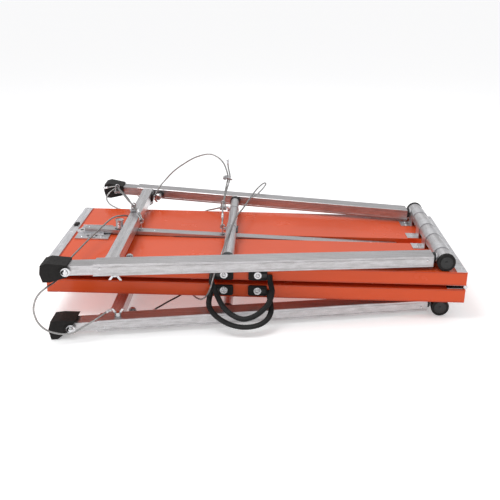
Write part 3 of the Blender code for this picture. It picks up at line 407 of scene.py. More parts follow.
def pan_head(radius, height, bm=None, where=None, cross=True):
    """Domed screw head on z = 0 with a pressed cross."""
    bm = bm or bmesh.new()
    own = lathe([(0, radius), (height * 0.35, radius), (height * 0.7, radius * 0.86),
                 (height * 0.93, radius * 0.62), (height, radius * 0.30)], 20)
    if where:
        own.transform(where)
    merge(bm, own)
    if cross:
        for turn in (0, math.pi / 2):
            bar = Matrix.Translation((0, 0, height * 0.98)) @ Matrix.Rotation(turn + 0.4, 4, "Z")
            rounded(radius * 0.95, radius * 0.2, height * 0.12, radius * 0.04, bm,
                    (where or Matrix.Identity(4)) @ bar, 1)
    return bm


def curve_through(points, per_span):
    """Catmull-Rom points, as the ropes' solids are laid out."""
    points = [V(p) for p in points]
    ends = [points[0] * 2 - points[1]] + points + [points[-1] * 2 - points[-2]]
    route = []
    for a, b, c, d in zip(ends, ends[1:], ends[2:], ends[3:]):
        for i in range(per_span):
            t = i / per_span
            route.append(0.5 * (2 * b + (c - a) * t + (2 * a - 5 * b + 4 * c - d) * t ** 2
                                + (3 * b - a - 3 * c + d) * t ** 3))
    return route + [points[-1]]


def even(route, step):
    """The same line with points a step apart."""
    out, run, last = [route[0].copy()], 0.0, route[0]
    for here in route[1:]:
        gap = (here - last).length
        while run + gap >= step:
            last = last + (here - last) * ((step - run) / gap)
            out.append(last.copy())
            gap = (here - last).length
            run = 0.0
        run += gap
        last = here
    if (out[-1] - route[-1]).length > step * 0.4:
        out.append(route[-1].copy())
    else:
        out[-1] = route[-1].copy()
    return out


def sweep(route, section, up=V((0, 0, 1)), bm=None):
    """Closed tube along a line; section(i, s) gives (a, b) points round the centre."""
    bm = bm or bmesh.new()
    side, rings, run = None, [], 0.0
    for i, here in enumerate(route):
        before, after = route[max(i - 1, 0)], route[min(i + 1, len(route) - 1)]
        along = (after - before).normalized()
        if side is None:
            side = along.cross(up)
            side = side.normalized() if side.length > 1e-4 else along.orthogonal().normalized()
        side = (side - along * side.dot(along)).normalized()
        over = side.cross(along)
        if i:
            run += (here - route[i - 1]).length
        rings.append([bm.verts.new(here + side * a + over * b) for a, b in section(i, run)])
    loft(bm, rings)
    return bm


def circle(radius, count=12):
    ring = [(radius * math.cos(t), radius * math.sin(t))
            for t in (2 * math.pi * k / count for k in range(count))]
    return lambda i, s: ring


def looking(point, along, up=V((0, 0, 1))):
    """Matrix at a point with z along a direction."""
    z = V(along).normalized()
    x = V(up).cross(z)
    x = x.normalized() if x.length > 1e-4 else z.orthogonal().normalized()
    return axes(point, x, z.cross(x), z)


# ---- ropes ---------------------------------------------------------------------------------
ROPE_RADIUS = 0.0022
LAY = 0.019                 # one full turn of the strands
CLIP_SCALE = 1.4            # the clips are a size over the rope's own
ROUTES = {
    "rope_foot_tether": [
        (-0.9585, 0.2965, 0.0765), (-0.9400, 0.2915, 0.0812), (-0.9196, 0.2850, 0.0844),
        (-0.9000, 0.2335, 0.0869), (-0.8775, 0.1745, 0.0894), (-0.8545, 0.1115, 0.0940),
        (-0.8311, 0.0555, 0.0981), (-0.8195, 0.0311, 0.0968), (-0.8096, 0.0103, 0.0914),
        (-0.8041, -0.0014, 0.0886), (-0.8009, -0.0082, 0.0816), (-0.8041, -0.0014, 0.0746),
        (-0.8088, 0.0085, 0.0796), (-0.8125, 0.0163, 0.0860), (-0.8195, 0.0311, 0.0908),
        (-0.8311, 0.0555, 0.0930), (-0.8495, 0.1125, 0.0889), (-0.8700, 0.1765, 0.0843),
        (-0.8945, 0.2355, 0.0818), (-0.9196, 0.2845, 0.0792), (-0.9350, 0.2870, 0.0718),
        (-0.9455, 0.2790, 0.0620), (-0.9485, 0.2690, 0.0535), (-0.9440, 0.2580, 0.0468),
        (-0.9320, 0.2440, 0.0405), (-0.9085, 0.2300, 0.0345), (-0.8800, 0.2220, 0.0290),
        (-0.8400, 0.2190, 0.0262), (-0.7800, 0.2185, 0.0255), (-0.7200, 0.2185, 0.0262),
        (-0.6650, 0.2190, 0.0330), (-0.6440, 0.2180, 0.0400), (-0.6300, 0.2085, 0.0460),
        (-0.6051, 0.1873, 0.0585), (-0.5890, 0.1600, 0.0690), (-0.5810, 0.1500, 0.0712),
    ],
    "rope_middle_tether": [
        (-0.5905, 0.2555, 0.1778), (-0.5880, 0.2480, 0.1600), (-0.5838, 0.2400, 0.1450),
        (-0.5826, 0.2355, 0.1329), (-0.5868, 0.2255, 0.1160), (-0.5895, 0.2080, 0.1090),
        (-0.5920, 0.1655, 0.1048), (-0.5928, 0.1200, 0.1042), (-0.5932, 0.0755, 0.1041),
        (-0.5930, 0.0500, 0.1008), (-0.5925, 0.0280, 0.0930), (-0.5920, 0.0120, 0.0830),
        (-0.5916, -0.0010, 0.0784), (-0.5915, -0.0082, 0.0714), (-0.5916, -0.0010, 0.0644),
        (-0.5918, 0.0100, 0.0675), (-0.5922, 0.0220, 0.0775), (-0.5930, 0.0360, 0.0885),
        (-0.5936, 0.0550, 0.0954), (-0.5940, 0.0755, 0.0990), (-0.5941, 0.1200, 0.0991),
        (-0.5940, 0.1655, 0.0997), (-0.5937, 0.2080, 0.1050), (-0.5922, 0.2265, 0.1150),
        (-0.5878, 0.2360, 0.1332), (-0.5902, 0.2400, 0.1450), (-0.5945, 0.2455, 0.1570),
        (-0.6025, 0.2530, 0.1725), (-0.6190, 0.2620, 0.1865), (-0.6428, 0.2720, 0.1930),
        (-0.6727, 0.2800, 0.1855), (-0.7020, 0.2845, 0.1710), (-0.7464, 0.2855, 0.1395),
        (-0.7764, 0.2800, 0.1084), (-0.7905, 0.2650, 0.0930), (-0.7985, 0.2575, 0.0790),
        (-0.8050, 0.2545, 0.0690), (-0.8088, 0.2530, 0.0620),
    ],
    "rope_near_run": [
        (-0.8085, 0.2440, 0.0585), (-0.8100, 0.2400, 0.0500), (-0.8206, 0.2250, 0.0458),
        (-0.8352, 0.1758, 0.0450), (-0.8440, 0.1400, 0.0465), (-0.8500, 0.0950, 0.0560),
        (-0.8560, 0.0500, 0.0720), (-0.8620, 0.0230, 0.0800), (-0.8718, 0.0120, 0.0815),
        (-0.8843, -0.0063, 0.0785), (-0.8992, -0.0625, 0.0725), (-0.9114, -0.1243, 0.0685),
        (-0.9197, -0.1959, 0.0680), (-0.9280, -0.2600, 0.0660), (-0.9336, -0.2890, 0.0590),
        (-0.9390, -0.2935, 0.0470), (-0.9430, -0.3080, 0.0385), (-0.9490, -0.3320, 0.0360),
        (-0.9580, -0.3580, 0.0355), (-0.9680, -0.3700, 0.0290), (-0.9790, -0.3715, 0.0140),
        (-0.9850, -0.3715, -0.0030), (-0.9865, -0.3715, -0.0196), (-0.9796, -0.3715, -0.0438),
        (-0.9637, -0.3690, -0.0628), (-0.9428, -0.3650, -0.0724), (-0.9219, -0.3600, -0.0768),
        (-0.9027, -0.3545, -0.0737), (-0.8805, -0.3480, -0.0605), (-0.8596, -0.3380, -0.0498),
        (-0.8415, -0.3160, -0.0425), (-0.8310, -0.3030, -0.0410),
    ],
    "rope_middle_run": [
        (-0.5010, 0.2765, 0.0720), (-0.4965, 0.2765, 0.0810), (-0.4850, 0.2810, 0.0940),
        (-0.4790, 0.2900, 0.1010), (-0.4795, 0.2990, 0.1030), (-0.4850, 0.3050, 0.1005),
        (-0.4925, 0.3017, 0.0960), (-0.5069, 0.2744, 0.0880), (-0.5231, 0.2038, 0.0835),
        (-0.5405, 0.1095, 0.0825), (-0.5568, 0.0282, 0.0825), (-0.5694, -0.1015, 0.0825),
        (-0.5768, -0.1998, 0.0815), (-0.5805, -0.2300, 0.0770), (-0.5840, -0.2320, 0.0620),
        (-0.5885, -0.2290, 0.0480), (-0.5938, -0.2275, 0.0340), (-0.5978, -0.2300, 0.0250),
        (-0.6005, -0.2370, 0.0137), (-0.6040, -0.2505, 0.0025), (-0.6100, -0.2460, -0.0160),
        (-0.6175, -0.2400, -0.0300), (-0.6250, -0.2310, -0.0395), (-0.6330, -0.2190, -0.0460),
        (-0.6440, -0.1970, -0.0515), (-0.6535, -0.1780, -0.0525), (-0.6590, -0.1670, -0.0490),
        (-0.6610, -0.1620, -0.0430),
    ],
    "rope_lower_run": [
        (-0.7390, -0.2530, -0.0625), (-0.7410, -0.2420, -0.0665), (-0.7400, -0.2250, -0.0720),
        (-0.7300, -0.1980, -0.0760), (-0.7157, -0.1700, -0.0770), (-0.6990, -0.1480, -0.0755),
        (-0.6851, -0.1300, -0.0735), (-0.6720, -0.1150, -0.0690), (-0.6600, -0.1030, -0.0600),
        (-0.6530, -0.0960, -0.0490), (-0.6510, -0.0940, -0.0430),
    ],
}
ROPE_BODY = {name: "upper_frame" for name in ROUTES}
ROPE_BODY["rope_lower_run"] = "lower_frame"


def strands(i, s):
    """Section of a six-strand rope, turned as far as its lay has come."""
    turn = 2 * math.pi * s / LAY
    ring = []
    for k in range(18):
        t = 2 * math.pi * k / 18
        r = ROPE_RADIUS * (0.80 + 0.20 * abs(math.cos(3 * t)))
        ring.append((r * math.cos(t + turn), r * math.sin(t + turn)))
    return ring


def rope(name):
    line = even([STAND @ p for p in curve_through(ROUTES[name], 10)], 0.0016)
    # The lower run takes the rope's darker copy: painted shade.
    mat = ROPE_IN_SHADE if name == "rope_lower_run" else ROPE
    body = ROPE_BODY[name]
    thing = piece(name + "_strands", sweep(line, strands), mat, body, None, 60,
                  (name,))
    return line


def clip(name, rope_name, point, along, across, body="upper_frame"):
    """Wire-rope clip: U-bolt round two strands, a saddle block and two nuts."""
    at = STAND @ V(point)
    z = (STAND.to_3x3() @ V(along)).normalized()
    x = (STAND.to_3x3() @ V(across)).normalized()
    x = (x - z * x.dot(z)).normalized()
    m = axes(at, x, z.cross(x), z)
    bm = bmesh.new()
    bow = [V((0.0032 + 0.0036 * math.cos(t), 0.0036 * math.sin(t), 0))
           for t in [math.pi * (k / 10 - 0.5) for k in range(11)]]
    sweep([V((-0.0112, -0.0036, 0))] + bow + [V((-0.0112, 0.0036, 0))], circle(0.0013, 10),
          bm=bm)
    rounded(0.0034, 0.0142, 0.0094, 0.0011, bm, Matrix.Translation((-0.0073, 0, 0)))
    for side in (-1, 1):
        nut = Matrix.Translation((-0.0090, side * 0.0037, 0)) @ Matrix.Rotation(
            -math.pi / 2, 4, "Y")
        hexagon(0.0034, 0.0024, bm, nut)
    bmesh.ops.scale(bm, vec=(CLIP_SCALE,) * 3, verts=bm.verts)
    return piece(name, bm, GALVANISED, body, m)


def ferrule(name, point, along, body, length=0.015, radius=0.0035):
    m = looking(STAND @ V(point), STAND.to_3x3() @ V(along))
    h = length / 2
    bm = lathe([(-h, radius * 0.8), (-h * 0.86, radius), (-h * 0.3, radius),
                (-h * 0.22, radius * 0.93), (h * 0.22, radius * 0.93), (h * 0.3, radius),
                (h * 0.86, radius), (h, radius * 0.8)], 16)
    return piece(name, bm, ZINC, body, m)


def sleeve(name, point, along, body, width=0.0115, height=0.0070, length=0.014):
    """Pressed oval sleeve over both strands next to the eye."""
    m = looking(STAND @ V(point), STAND.to_3x3() @ V(along))
    bm = bmesh.new()
    rings = []
    for z, k in ((-0.5, 0.84), (-0.42, 1.0), (-0.12, 1.0), (-0.08, 0.93), (0.08, 0.93),
                 (0.12, 1.0), (0.42, 1.0), (0.5, 0.84)):
        ring = []
        for i in range(24):
            t = 2 * math.pi * i / 24
            ring.append(bm.verts.new((height / 2 * k * math.cos(t), width / 2 * k * math.sin(t),
                                      z * length)))
        rings.append(ring)
    loft(bm, rings)
    return piece(name, bm, ZINC, body, m)


def ropes():
    f, m = "rope_foot_tether", "rope_middle_tether"
    on = {name: [] for name in ROUTES}
    on[f] = [
        clip("foot_clip_inner", f, (-0.8330, 0.0605, 0.0951), (-0.43, 1.12, -0.02), (0, 0, 1)),
        clip("foot_clip_outer", f, (-0.9175, 0.2800, 0.0822), (-0.40, 0.90, -0.05), (0, 0, 1)),
        sleeve("foot_eye_sleeve", (-0.8140, 0.0215, 0.0918), (-0.40, 0.86, 0.26), "upper_frame"),
        ferrule("foot_tail_ferrule", (-0.9560, 0.2958, 0.0771), (-0.9, 0.24, -0.2), "upper_frame"),
        ferrule("foot_end_ferrule", (-0.5835, 0.1530, 0.0706), (0.6, -0.76, 0.2), "upper_frame"),
    ]
    on[m] = [
        clip("middle_clip_inner", m, (-0.5936, 0.0800, 0.1016), (0, 1, 0), (0, 0, 1)),
        clip("middle_clip_outer", m, (-0.5858, 0.2350, 0.1310), (0.25, 0.5, 1), (1, 0.2, -0.3)),
        sleeve("middle_eye_sleeve", (-0.5924, 0.0230, 0.0850), (0, 0.66, 0.60), "upper_frame",
               0.0135),
        ferrule("middle_tail_ferrule", (-0.5902, 0.2547, 0.1758), (-0.1, 0.4, 1), "upper_frame"),
        ferrule("middle_end_ferrule", (-0.8078, 0.2534, 0.0642), (-0.5, -0.2, -1), "upper_frame"),
    ]
    on["rope_near_run"] = [
        ferrule("near_end_ferrule", (-0.8345, -0.3075, -0.0413), (1, 1.2, 0.1), "upper_frame"),
        ferrule("near_start_ferrule", (-0.8089, 0.2430, 0.0560), (-0.1, -0.3, -1), "upper_frame"),
    ]
    on["rope_middle_run"] = [
        ferrule("run_start_ferrule", (-0.5000, 0.2765, 0.0745), (0.3, 0, 1), "upper_frame"),
        ferrule("run_end_ferrule", (-0.6602, -0.1640, -0.0455), (-0.3, 0.5, 1), "upper_frame"),
    ]
    on["rope_lower_run"] = [
        ferrule("lower_start_ferrule", (-0.7395, -0.2490, -0.0640), (0, 1, -0.3), "lower_frame"),
        ferrule("lower_end_ferrule", (-0.6513, -0.0943, -0.0455), (0.1, 0.1, 1), "lower_frame"),
    ]
    for name in ROUTES:
        rope(name)


# ---- fittings ------------------------------------------------------------------------------
SIDE = [
    (21.2, -14.0), (22.45, -12.8), (22.45, -9.4), (21.9, -8.9), (21.9, -8.1), (22.45, -7.6),
    (22.45, 7.2), (21.6, 7.7), (21.6, 8.9), (22.45, 9.4), (22.45, 12.8), (21.2, 14.0),
]


def rail(prefix, end):
    """Drawn profile with grooved sides, hollow from its foot end."""
    side = side_of(prefix, end)
    outline = [(w / 1000, h / 1000) for w, h in SIDE]
    outline += [(-w, h) for w, h in reversed(outline)]
    x0, x1 = in_frame(RAIL_FOOT_INSET), RAIL_HINGE_END
    bm = bmesh.new()

    def ring(x, kx, kz):
        return [bm.verts.new((x, rail_y(x, side) + w * kx, h * kz - RAIL_DROP))
                for w, h in outline]

    outer = [ring(x0, 1, 1), ring(x1, 1, 1)]
    inner = [ring(x0, 0.875, 0.815), ring(x1 - 0.016, 0.875, 0.815)]
    count = len(outline)
    for i in range(count):
        j = (i + 1) % count
        bm.faces.new((outer[0][i], outer[0][j], outer[1][j], outer[1][i]))
        bm.faces.new((inner[0][j], inner[0][i], inner[1][i], inner[1][j]))
        bm.faces.new((outer[0][j], outer[0][i], inner[0][i], inner[0][j]))
    bm.faces.new(outer[1])
    bm.faces.new(inner[1])
    piece(f"{prefix}_rail_{end}_profile", bm, ALU, prefix + "_frame", FRAME[prefix],
          25, (f"{prefix}_rail_{end}",))
    px = in_frame(PLUNGER_INSET)
    face = V((px, rail_y(px, side) - side * 0.02245, -RAIL_DROP))
    inward = (Matrix.Rotation(-side * math.atan(SPLAY), 3, "Z") @ V((0, -side, 0))).normalized()
    bm = lathe([(0.0002, 0.0086), (0.0034, 0.0086), (0.0036, 0.0075), (0.0120, 0.0075),
                (0.0146, 0.0066)], 24)
    body = FRAME[prefix] @ looking(face, inward)
    piece(f"{prefix}_bush_{end}", bm, BLACK if end == "far" else STEEL, prefix + "_frame",
          body)
    for inset in (0.118 + 0.0375, 0.905):
        x = in_frame(inset)
        y = rail_y(x, side) + side * 0.0223
        outward = (Matrix.Rotation(-side * math.atan(SPLAY), 3, "Z") @ V((0, side, 0)))
        bm = pan_head(0.0032, 0.0014)
        piece(f"{prefix}_rail_screw_{end}_{int(inset * 1000)}", bm, STEEL, prefix + "_frame",
              FRAME[prefix] @ looking((x, y, 0.003), outward))


def leg_fittings(prefix, end):
    """Steel washer and bolt on the shoe's outer cheek."""
    side = side_of(prefix, end)
    pushed = UPPER_FAR_LEG_IN if (prefix, end) == ("upper", "far") else 0.0
    x = in_frame(SHOE_SCREW_INSET + pushed)
    outward = Matrix.Rotation(-side * math.atan(SPLAY), 3, "Z") @ V((0, side, 0))
    at = V((x, rail_y(x, side), -RAIL_DROP)) + outward * (0.026 * math.cos(math.atan(SPLAY)))
    body = f"{prefix}_foot_{end}"
    where = FRAME[prefix] @ looking(at, outward)
    bm = lathe([(0.0021, 0.0100), (0.0026, 0.0105), (0.0031, 0.0100), (0.0033, 0.0064)], 30)
    lathe([(0.0030, 0.0061), (0.0062, 0.0059), (0.0075, 0.0048), (0.0078, 0.0030)], 24, bm)
    piece(f"{prefix}_shoe_bolt_{end}", bm, STEEL, body, where)


def pads_and_handles(prefix):
    half = HALF[prefix]
    side = -1 if prefix == "upper" else 1
    for place, label in ((-HANDLE_SCREW_X, "foot"), (HANDLE_SCREW_X, "hinge")):
        at = V((HANDLE_X + place, side * (HALF_WIDTH + CLEAR + 0.006), OUTER_FACE - EDGE_MIDDLE))
        where = half @ looking(at, V((0, side, 0)))
        bm = lathe([(0.0001, 0.0088), (0.0009, 0.0093), (0.0014, 0.0088), (0.0016, 0.0050)], 30)
        pan_head(0.0052, 0.0030, bm, Matrix.Translation((0, 0, 0.0012)))
        piece(f"{prefix}_pad_screw_{label}", bm, STEEL, prefix + "_board", where)
        outer = -1 if label == "foot" else 1
        lug = half @ Matrix.Translation(at + V((outer * 0.0145, side * 0.0006, 0)))
        bm = rounded(0.0150, 0.0012, 0.0110, 0.0004)
        piece(f"{prefix}_pad_lug_{label}", bm, BLACK, prefix + "_board", lug)


LOOPS = {
    "upper": (50, [
        (0.022, -0.068), (0.046, -0.058), (0.068, -0.048), (0.088, -0.036), (0.105, -0.017),
        (0.115, 0.009), (0.106, 0.036), (0.085, 0.059), (0.065, 0.070), (0.041, 0.0745),
        (0.018, 0.070)]),
    "lower": (64, [
        (0.020, -0.072), (0.046, -0.073), (0.068, -0.064), (0.090, -0.044), (0.106, -0.016),
        (0.111, 0.014), (0.104, 0.044), (0.087, 0.064), (0.063, 0.073), (0.040, 0.072),
        (0.017, 0.069)]),
}


def handle(prefix):
    """Ribbed band on the loop's route, narrow at both ends."""
    lean, loop = LOOPS[prefix]
    side = -1 if prefix == "upper" else 1
    turn = math.pi / 2 - math.radians(lean) if side < 0 else -math.pi / 2 - math.radians(lean)
    at = Matrix.Translation((HANDLE_X, side * (HALF_WIDTH + 0.0033), OUTER_FACE - EDGE_MIDDLE))
    where = HALF[prefix] @ at @ Matrix.Rotation(turn, 4, "X")
    start = (0.0805 + 0.045) / 2 + 0.0005 + 0.00525
    points = [(-start, 0, 0)] + [(a, -d, 0) for d, a in loop] + [(start, 0, 0)]
    line = even(curve_through(points, 12), 0.0009)
    count = len(line)

    def section(i, s):
        rib = 1.0 if (i // 2) % 2 else 0.90
        if i < 8 or i > count - 9:
            rib = 0.96
        ring = []
        for k in range(16):
            t = 2 * math.pi * k / 16
            c, sn = math.cos(t), math.sin(t)
            a = math.copysign(abs(c) ** 0.6, c) * 0.0066 * rib
            b = math.copysign(abs(sn) ** 0.6, sn) * 0.0037 * rib
            ring.append((a, b))
        return ring

    piece(prefix + "_handle_band", sweep(line, section), WEB, prefix + "_grip", where,
          50, (prefix + "_handle",))


def straps(prefix):
    """Screws on the saddle's tabs and feet, and a dark bush where each neck leaves the tube."""
    half, shift = HALF[prefix], (0.0 if prefix == "upper" else -0.012)
    body = prefix + "_board"
    bm = bmesh.new()
    outer = RAIL_ROOT - 0.011 - 0.0045 - 0.019
    for y in (-outer, -outer * 0.2857, outer * 0.2857, outer):
        for dy in (-0.010, 0.010):
            pan_head(0.0031, 0.0016, bm,
                     Matrix.Translation((TUBE_X - 0.0355, y + shift + dy, OUTER_FACE + 0.0018)))
        pan_head(0.0036, 0.0018, bm,
                 Matrix.Translation((-0.0145, y + shift, OUTER_FACE + 0.0025)))
    piece(prefix + "_strap_screws", bm, STEEL, body, half)
    bm = bmesh.new()
    for side in (-1, 1):
        where = Matrix.Translation((-0.0275, side * (RAIL_ROOT + 0.00225), 0)) @ Matrix.Rotation(
            math.pi / 2, 4, "Y")
        lathe([(-0.0014, 0.0128), (0.0, 0.0134), (0.0056, 0.0134), (0.0066, 0.0126)], 28, bm,
              where)
    piece(prefix + "_neck_bushes", bm, BLACK, prefix + "_frame", FRAME[prefix])
    bm = bmesh.new()
    for side in (-1, 1):
        y = side * (HALF_WIDTH - 0.004)
        turn = Matrix.Rotation(-side * math.pi / 2, 4, "X")
        where = Matrix.Translation((0, y, 0)) @ turn
        lathe([(0.0000, 0.0150), (0.0008, 0.0146), (0.0008, 0.0125), (0.0002, 0.0120)], 32, bm,
              where)
        lathe([(0.0000, 0.0042), (0.0012, 0.0040), (0.0016, 0.0028)], 20, bm, where)
    piece(prefix + "_cap_faces", bm, BLACK, prefix + "_frame", FRAME[prefix])


def trim(prefix):
    """Thin lines in painted shade (seams, slot wall and edge grooves), small pads and screws on the
    boards.
    """
    half, body = HALF[prefix], prefix + "_board"
    # Thin dark orange lines at the foot end and at the hinge slot: painted shade of the seam and the
    # slot wall.
    bm = rounded(0.0022, 0.423, 0.0007, 0.0002, None, Matrix.Translation(
        (FOOT_END + 0.0255, 0, OUTER_FACE + 0.0005)), 1)
    piece(prefix + "_trim_line", bm, ORANGE_SLOT_SHADE, body, half)
    bm = rounded(0.0022, 0.423, 0.0007, 0.0002, None, Matrix.Translation(
        (-0.0288, 0, OUTER_FACE + 0.0005)), 1)
    piece(prefix + "_hinge_trim_line", bm, ORANGE_SLOT_SHADE, body, half)
    bm = rounded(0.012, 0.022, 0.004, 0.0012, None, Matrix.Translation(
        (FOOT_END + 0.0125, 0.058, OUTER_FACE + 0.0039)))
    piece(prefix + "_stop_pad", bm, RUBBER, body, half)
    bm = bmesh.new()
    for y in (-0.195, -0.135, 0.135, 0.195):
        pan_head(0.0030, 0.0013, bm, Matrix.Translation((-0.0095, y, OUTER_FACE + 0.0019)))
    piece(prefix + "_end_screws", bm, STEEL, body, half)
    # Dark orange lines along the board's sides: painted shade of the edge grooves.
    mid = OUTER_FACE - BOARD_THICKNESS / 2
    bm = bmesh.new()
    for y in (-1, 1):
        for z in (mid - 0.0148, mid + 0.0148):
            rounded(0.992, 0.0006, 0.0010, 0.0002, bm, Matrix.Translation(
                (FOOT_END / 2, y * (HALF_WIDTH + 0.0001), z)), 1)
    piece(prefix + "_edge_shade_lines", bm, ORANGE_SLOT_SHADE, body, half)


def latch(prefix):
    """Keeper, flanges and screws on the latch plate, and trim on the brace and its knob."""
    half, body = HALF[prefix], prefix + "_board"
    top = LATCH_TOP
    bm = bmesh.new()
    for inset, y in ((0.048, -0.040), (0.098, -0.040), (0.048, 0.031), (0.098, 0.031)):
        pan_head(0.0034, 0.0017, bm, Matrix.Translation((FOOT_END + inset, y, top)))
    piece(prefix + "_latch_screws", bm, STEEL, body, half)
    # Thin black discs and a flat slot on the plate and keeper: painted shade standing in for the
    # dark insides of the holes.
    bm = bmesh.new()
    for inset, y in ((0.062, -0.034), (0.073, -0.034), (0.084, -0.034)):
        lathe([(0, 0.0030), (0.00035, 0.0030), (0.00035, 0.0001)], 16, bm,
              Matrix.Translation((FOOT_END + inset, y, top)))
    lathe([(0, 0.0040), (0.0005, 0.0040), (0.0005, 0.0001)], 20, bm,
          Matrix.Translation((FOOT_END + 0.0405, 0.0, top + 0.0048)))
    rounded(0.0200, 0.0040, 0.0004, 0.0001, bm, Matrix.Translation(
        (FOOT_END + 0.0740, -0.0440, top + 0.0001)), 1)
    piece(prefix + "_latch_hole_shade", bm, BLACK, body, half)
    bm = rounded(0.0130, 0.0260, 0.0048, 0.0012, None, Matrix.Translation(
        (FOOT_END + 0.0405, 0.0, top + 0.0024)))
    lathe([(0, 0.0130), (0.0040, 0.0126), (0.0048, 0.0116), (0.0048, 0.0001)], 28, bm,
          Matrix.Translation((FOOT_END + 0.0405, 0.0, top + 0.0001)))
    rounded(0.0800, 0.0020, 0.0060, 0.0007, bm, Matrix.Translation(
        (FOOT_END + 0.0750, 0.0385, top + 0.0030)))
    rounded(0.0560, 0.0020, 0.0040, 0.0007, bm, Matrix.Translation(
        (FOOT_END + 0.0760, -0.0300, top + 0.0020)))
    piece(prefix + "_latch_keeper", bm, ZINC, body, half)
    brace = BRACE[prefix]
    knob_x = along_brace(KNOB_INSET)
    bm = lathe([(0.0002, 0.0130), (0.0014, 0.0130), (0.0020, 0.0120), (0.0020, 0.0050),
                (0.0002, 0.0048)], 28)
    piece(prefix + "_knob_seat", bm, BLACK, prefix + "_brace_body", brace @ Matrix.Translation(
        (knob_x, 0, BRACE_TOP - 0.0019)))
    bm = bmesh.new()
    neck = BRACE_TOP + 0.0008
    for k in range(5):
        lathe([(neck + 0.0030 + k * 0.0034, 0.0091), (neck + 0.0036 + k * 0.0034, 0.0096),
               (neck + 0.0048 + k * 0.0034, 0.0096), (neck + 0.0054 + k * 0.0034, 0.0091)], 24,
              bm, Matrix.Translation((knob_x, 0, 0)))
    piece(prefix + "_knob_ribs", bm, STEEL, prefix + "_knob", brace)
    bm = bmesh.new()
    for k, inset in enumerate((0.060, 0.232, 0.455, 0.650, 0.800)):
        x = along_brace(inset)
        pan_head(0.0030, 0.0012, bm, Matrix.Translation((x, 0, BRACE_TOP)))
    piece(prefix + "_brace_rivets", bm, STEEL, prefix + "_brace_body", brace)


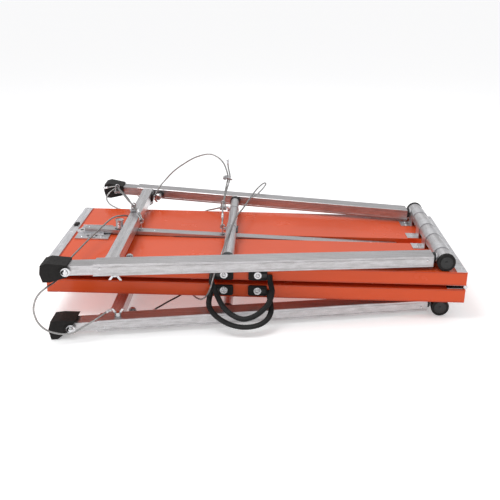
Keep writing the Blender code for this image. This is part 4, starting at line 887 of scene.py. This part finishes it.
def bars(prefix):
    """Cleats and collars at the crossbars' ends, and what is clamped on the round bar."""
    frame_at, body = FRAME[prefix], prefix + "_frame"
    x = in_frame(SQUARE_BAR_INSET)
    for end in ("near", "far"):
        side = side_of(prefix, end)
        y = rail_y(x, side) - side * 0.0245
        bm = bmesh.new()
        for h in (-1, 1):
            rounded(0.0022, 0.016, 0.0240, 0.0008, bm, Matrix.Translation(
                (x + h * 0.0152, y - side * 0.0098, -RAIL_DROP)))
            for z in (-0.006, 0.006):
                hexagon(0.0028, 0.0020, bm, Matrix.Translation(
                    (x + h * 0.0162, y - side * 0.0098, z - RAIL_DROP)) @ Matrix.Rotation(
                    h * math.pi / 2, 4, "Y"))
        piece(f"{prefix}_bar_cleat_{end}", bm, STEEL, body, frame_at)
        if (prefix, end) == ("upper", "far"):
            bm = rounded(0.0060, 0.030, 0.022, 0.0014, None, Matrix.Translation(
                (x + 0.0175, y - side * 0.030, -RAIL_DROP)))
            piece("rope_anchor", bm, BLACK, body, frame_at)
    x = in_frame(ROUND_BAR_INSET)
    for end in ("near", "far"):
        side = side_of(prefix, end)
        y = rail_y(x, side) - side * 0.0228
        radius = SLEEVE_RADIUS if side < 0 else ROUND_BAR_RADIUS
        turn = Matrix.Translation((x, y - side * 0.0065, -RAIL_DROP)) @ Matrix.Rotation(
            math.pi / 2, 4, "X")
        bm = lathe([(-0.0060, radius + 0.0004), (-0.0060, radius + 0.0020),
                    (0.0060, radius + 0.0020), (0.0060, radius + 0.0004)], 32, None, turn)
        piece(f"{prefix}_round_collar_{end}", bm, BLACK, body, frame_at)
    if prefix == "upper":
        for k, y in enumerate((-0.020, 0.150)):
            r = SLEEVE_RADIUS if y < SLEEVE_END else ROUND_BAR_RADIUS
            turn = Matrix.Translation((x, y, -RAIL_DROP)) @ Matrix.Rotation(
                math.pi / 2, 4, "X")
            bm = lathe([(-0.0046, r + 0.0003), (-0.0046, r + 0.0014), (0.0046, r + 0.0014),
                        (0.0046, r + 0.0003)], 32, None, turn)
            piece(f"clamp_band_{k}", bm, PLATE, body, frame_at)
            bm = rounded(0.0060, 0.0092, 0.0050, 0.0008, None, Matrix.Translation(
                (x - r - 0.0036, y, -RAIL_DROP)))
            hexagon(0.0032, 0.0026, bm, Matrix.Translation((x - r - 0.0036, y, 0.0013)))
            hexagon(0.0032, 0.0022, bm, Matrix.Translation((x - r - 0.0036, y, -0.0059)))
            piece(f"clamp_bolt_{k}", bm, STEEL, body, frame_at)
        bm = rounded(0.0042, 0.052, 0.0030, 0.0012, None, Matrix.Translation(
            (x + 0.0150, -0.030, 0.0032)))
        piece("cable_tie", bm, BLACK, body, frame_at)


# ---- the frame's own nodes -----------------------------------------------------------------
def finish_nodes():
    """Eased edges, smooth shading and a made material on every CAD node that shows."""
    looks = {
        "_panel": (ORANGE, 0.0022), "_foot_strip": (STRIP, 0.0004),
        "_saddle": (PLATE, 0.0), "_hinge_leaf": (STEEL, 0.0), "_latch_plate": (PLATE, 0.0004),
        "_brace_pin": (STEEL, 0.0), "_brace": (ALU, 0.0009), "_latch_knob": (STEEL, 0.0005),
        "_handle_pad_foot": (RUBBER, 0.0007), "_handle_pad_hinge": (RUBBER, 0.0007),
        "_pivot_tube": (ALU_ACROSS, 0.0), "_tube_cap_near": (RUBBER, 0.0007),
        "_tube_cap_far": (RUBBER, 0.0007), "_square_bar": (ALU_ACROSS, 0.0018),
        "_round_bar": (ALU_ACROSS, 0.0), "_leg_near": (ALU, 0.0012), "_leg_far": (ALU, 0.0012),
        "_shoe_near": (RUBBER, 0.0030), "_shoe_far": (RUBBER, 0.0030),
        "_wing_bolt_near": (STEEL, 0.0005), "_wing_bolt_far": (STEEL, 0.0005),
        "_plunger_near": (STEEL, 0.0006), "_plunger_far": (STEEL, 0.0006),
        "eye_bolt": (STEEL, 0.0), "hinge_pin": (STEEL, 0.0),
    }
    for name, node in NODES.items():
        found = [look for key, look in looks.items() if name.endswith(key)]
        if not found:
            continue
        mat, edge = found[0]
        node.data.materials.clear()
        node.data.materials.append(mat)
        node.data.shade_smooth()
        node.data.set_sharp_from_angle(angle=math.radians(32))
        if edge:
            step = node.modifiers.new("eased", "BEVEL")
            step.width = edge
            step.segments = 2
            step.limit_method = "ANGLE"
            step.angle_limit = math.radians(50)
            step.harden_normals = True
            step.use_clamp_overlap = True


camera()
studio()
ropes()
for prefix in ("upper", "lower"):
    for end in ("near", "far"):
        rail(prefix, end)
        leg_fittings(prefix, end)
    pads_and_handles(prefix)
    handle(prefix)
    straps(prefix)
    trim(prefix)
    latch(prefix)
    bars(prefix)
finish_nodes()
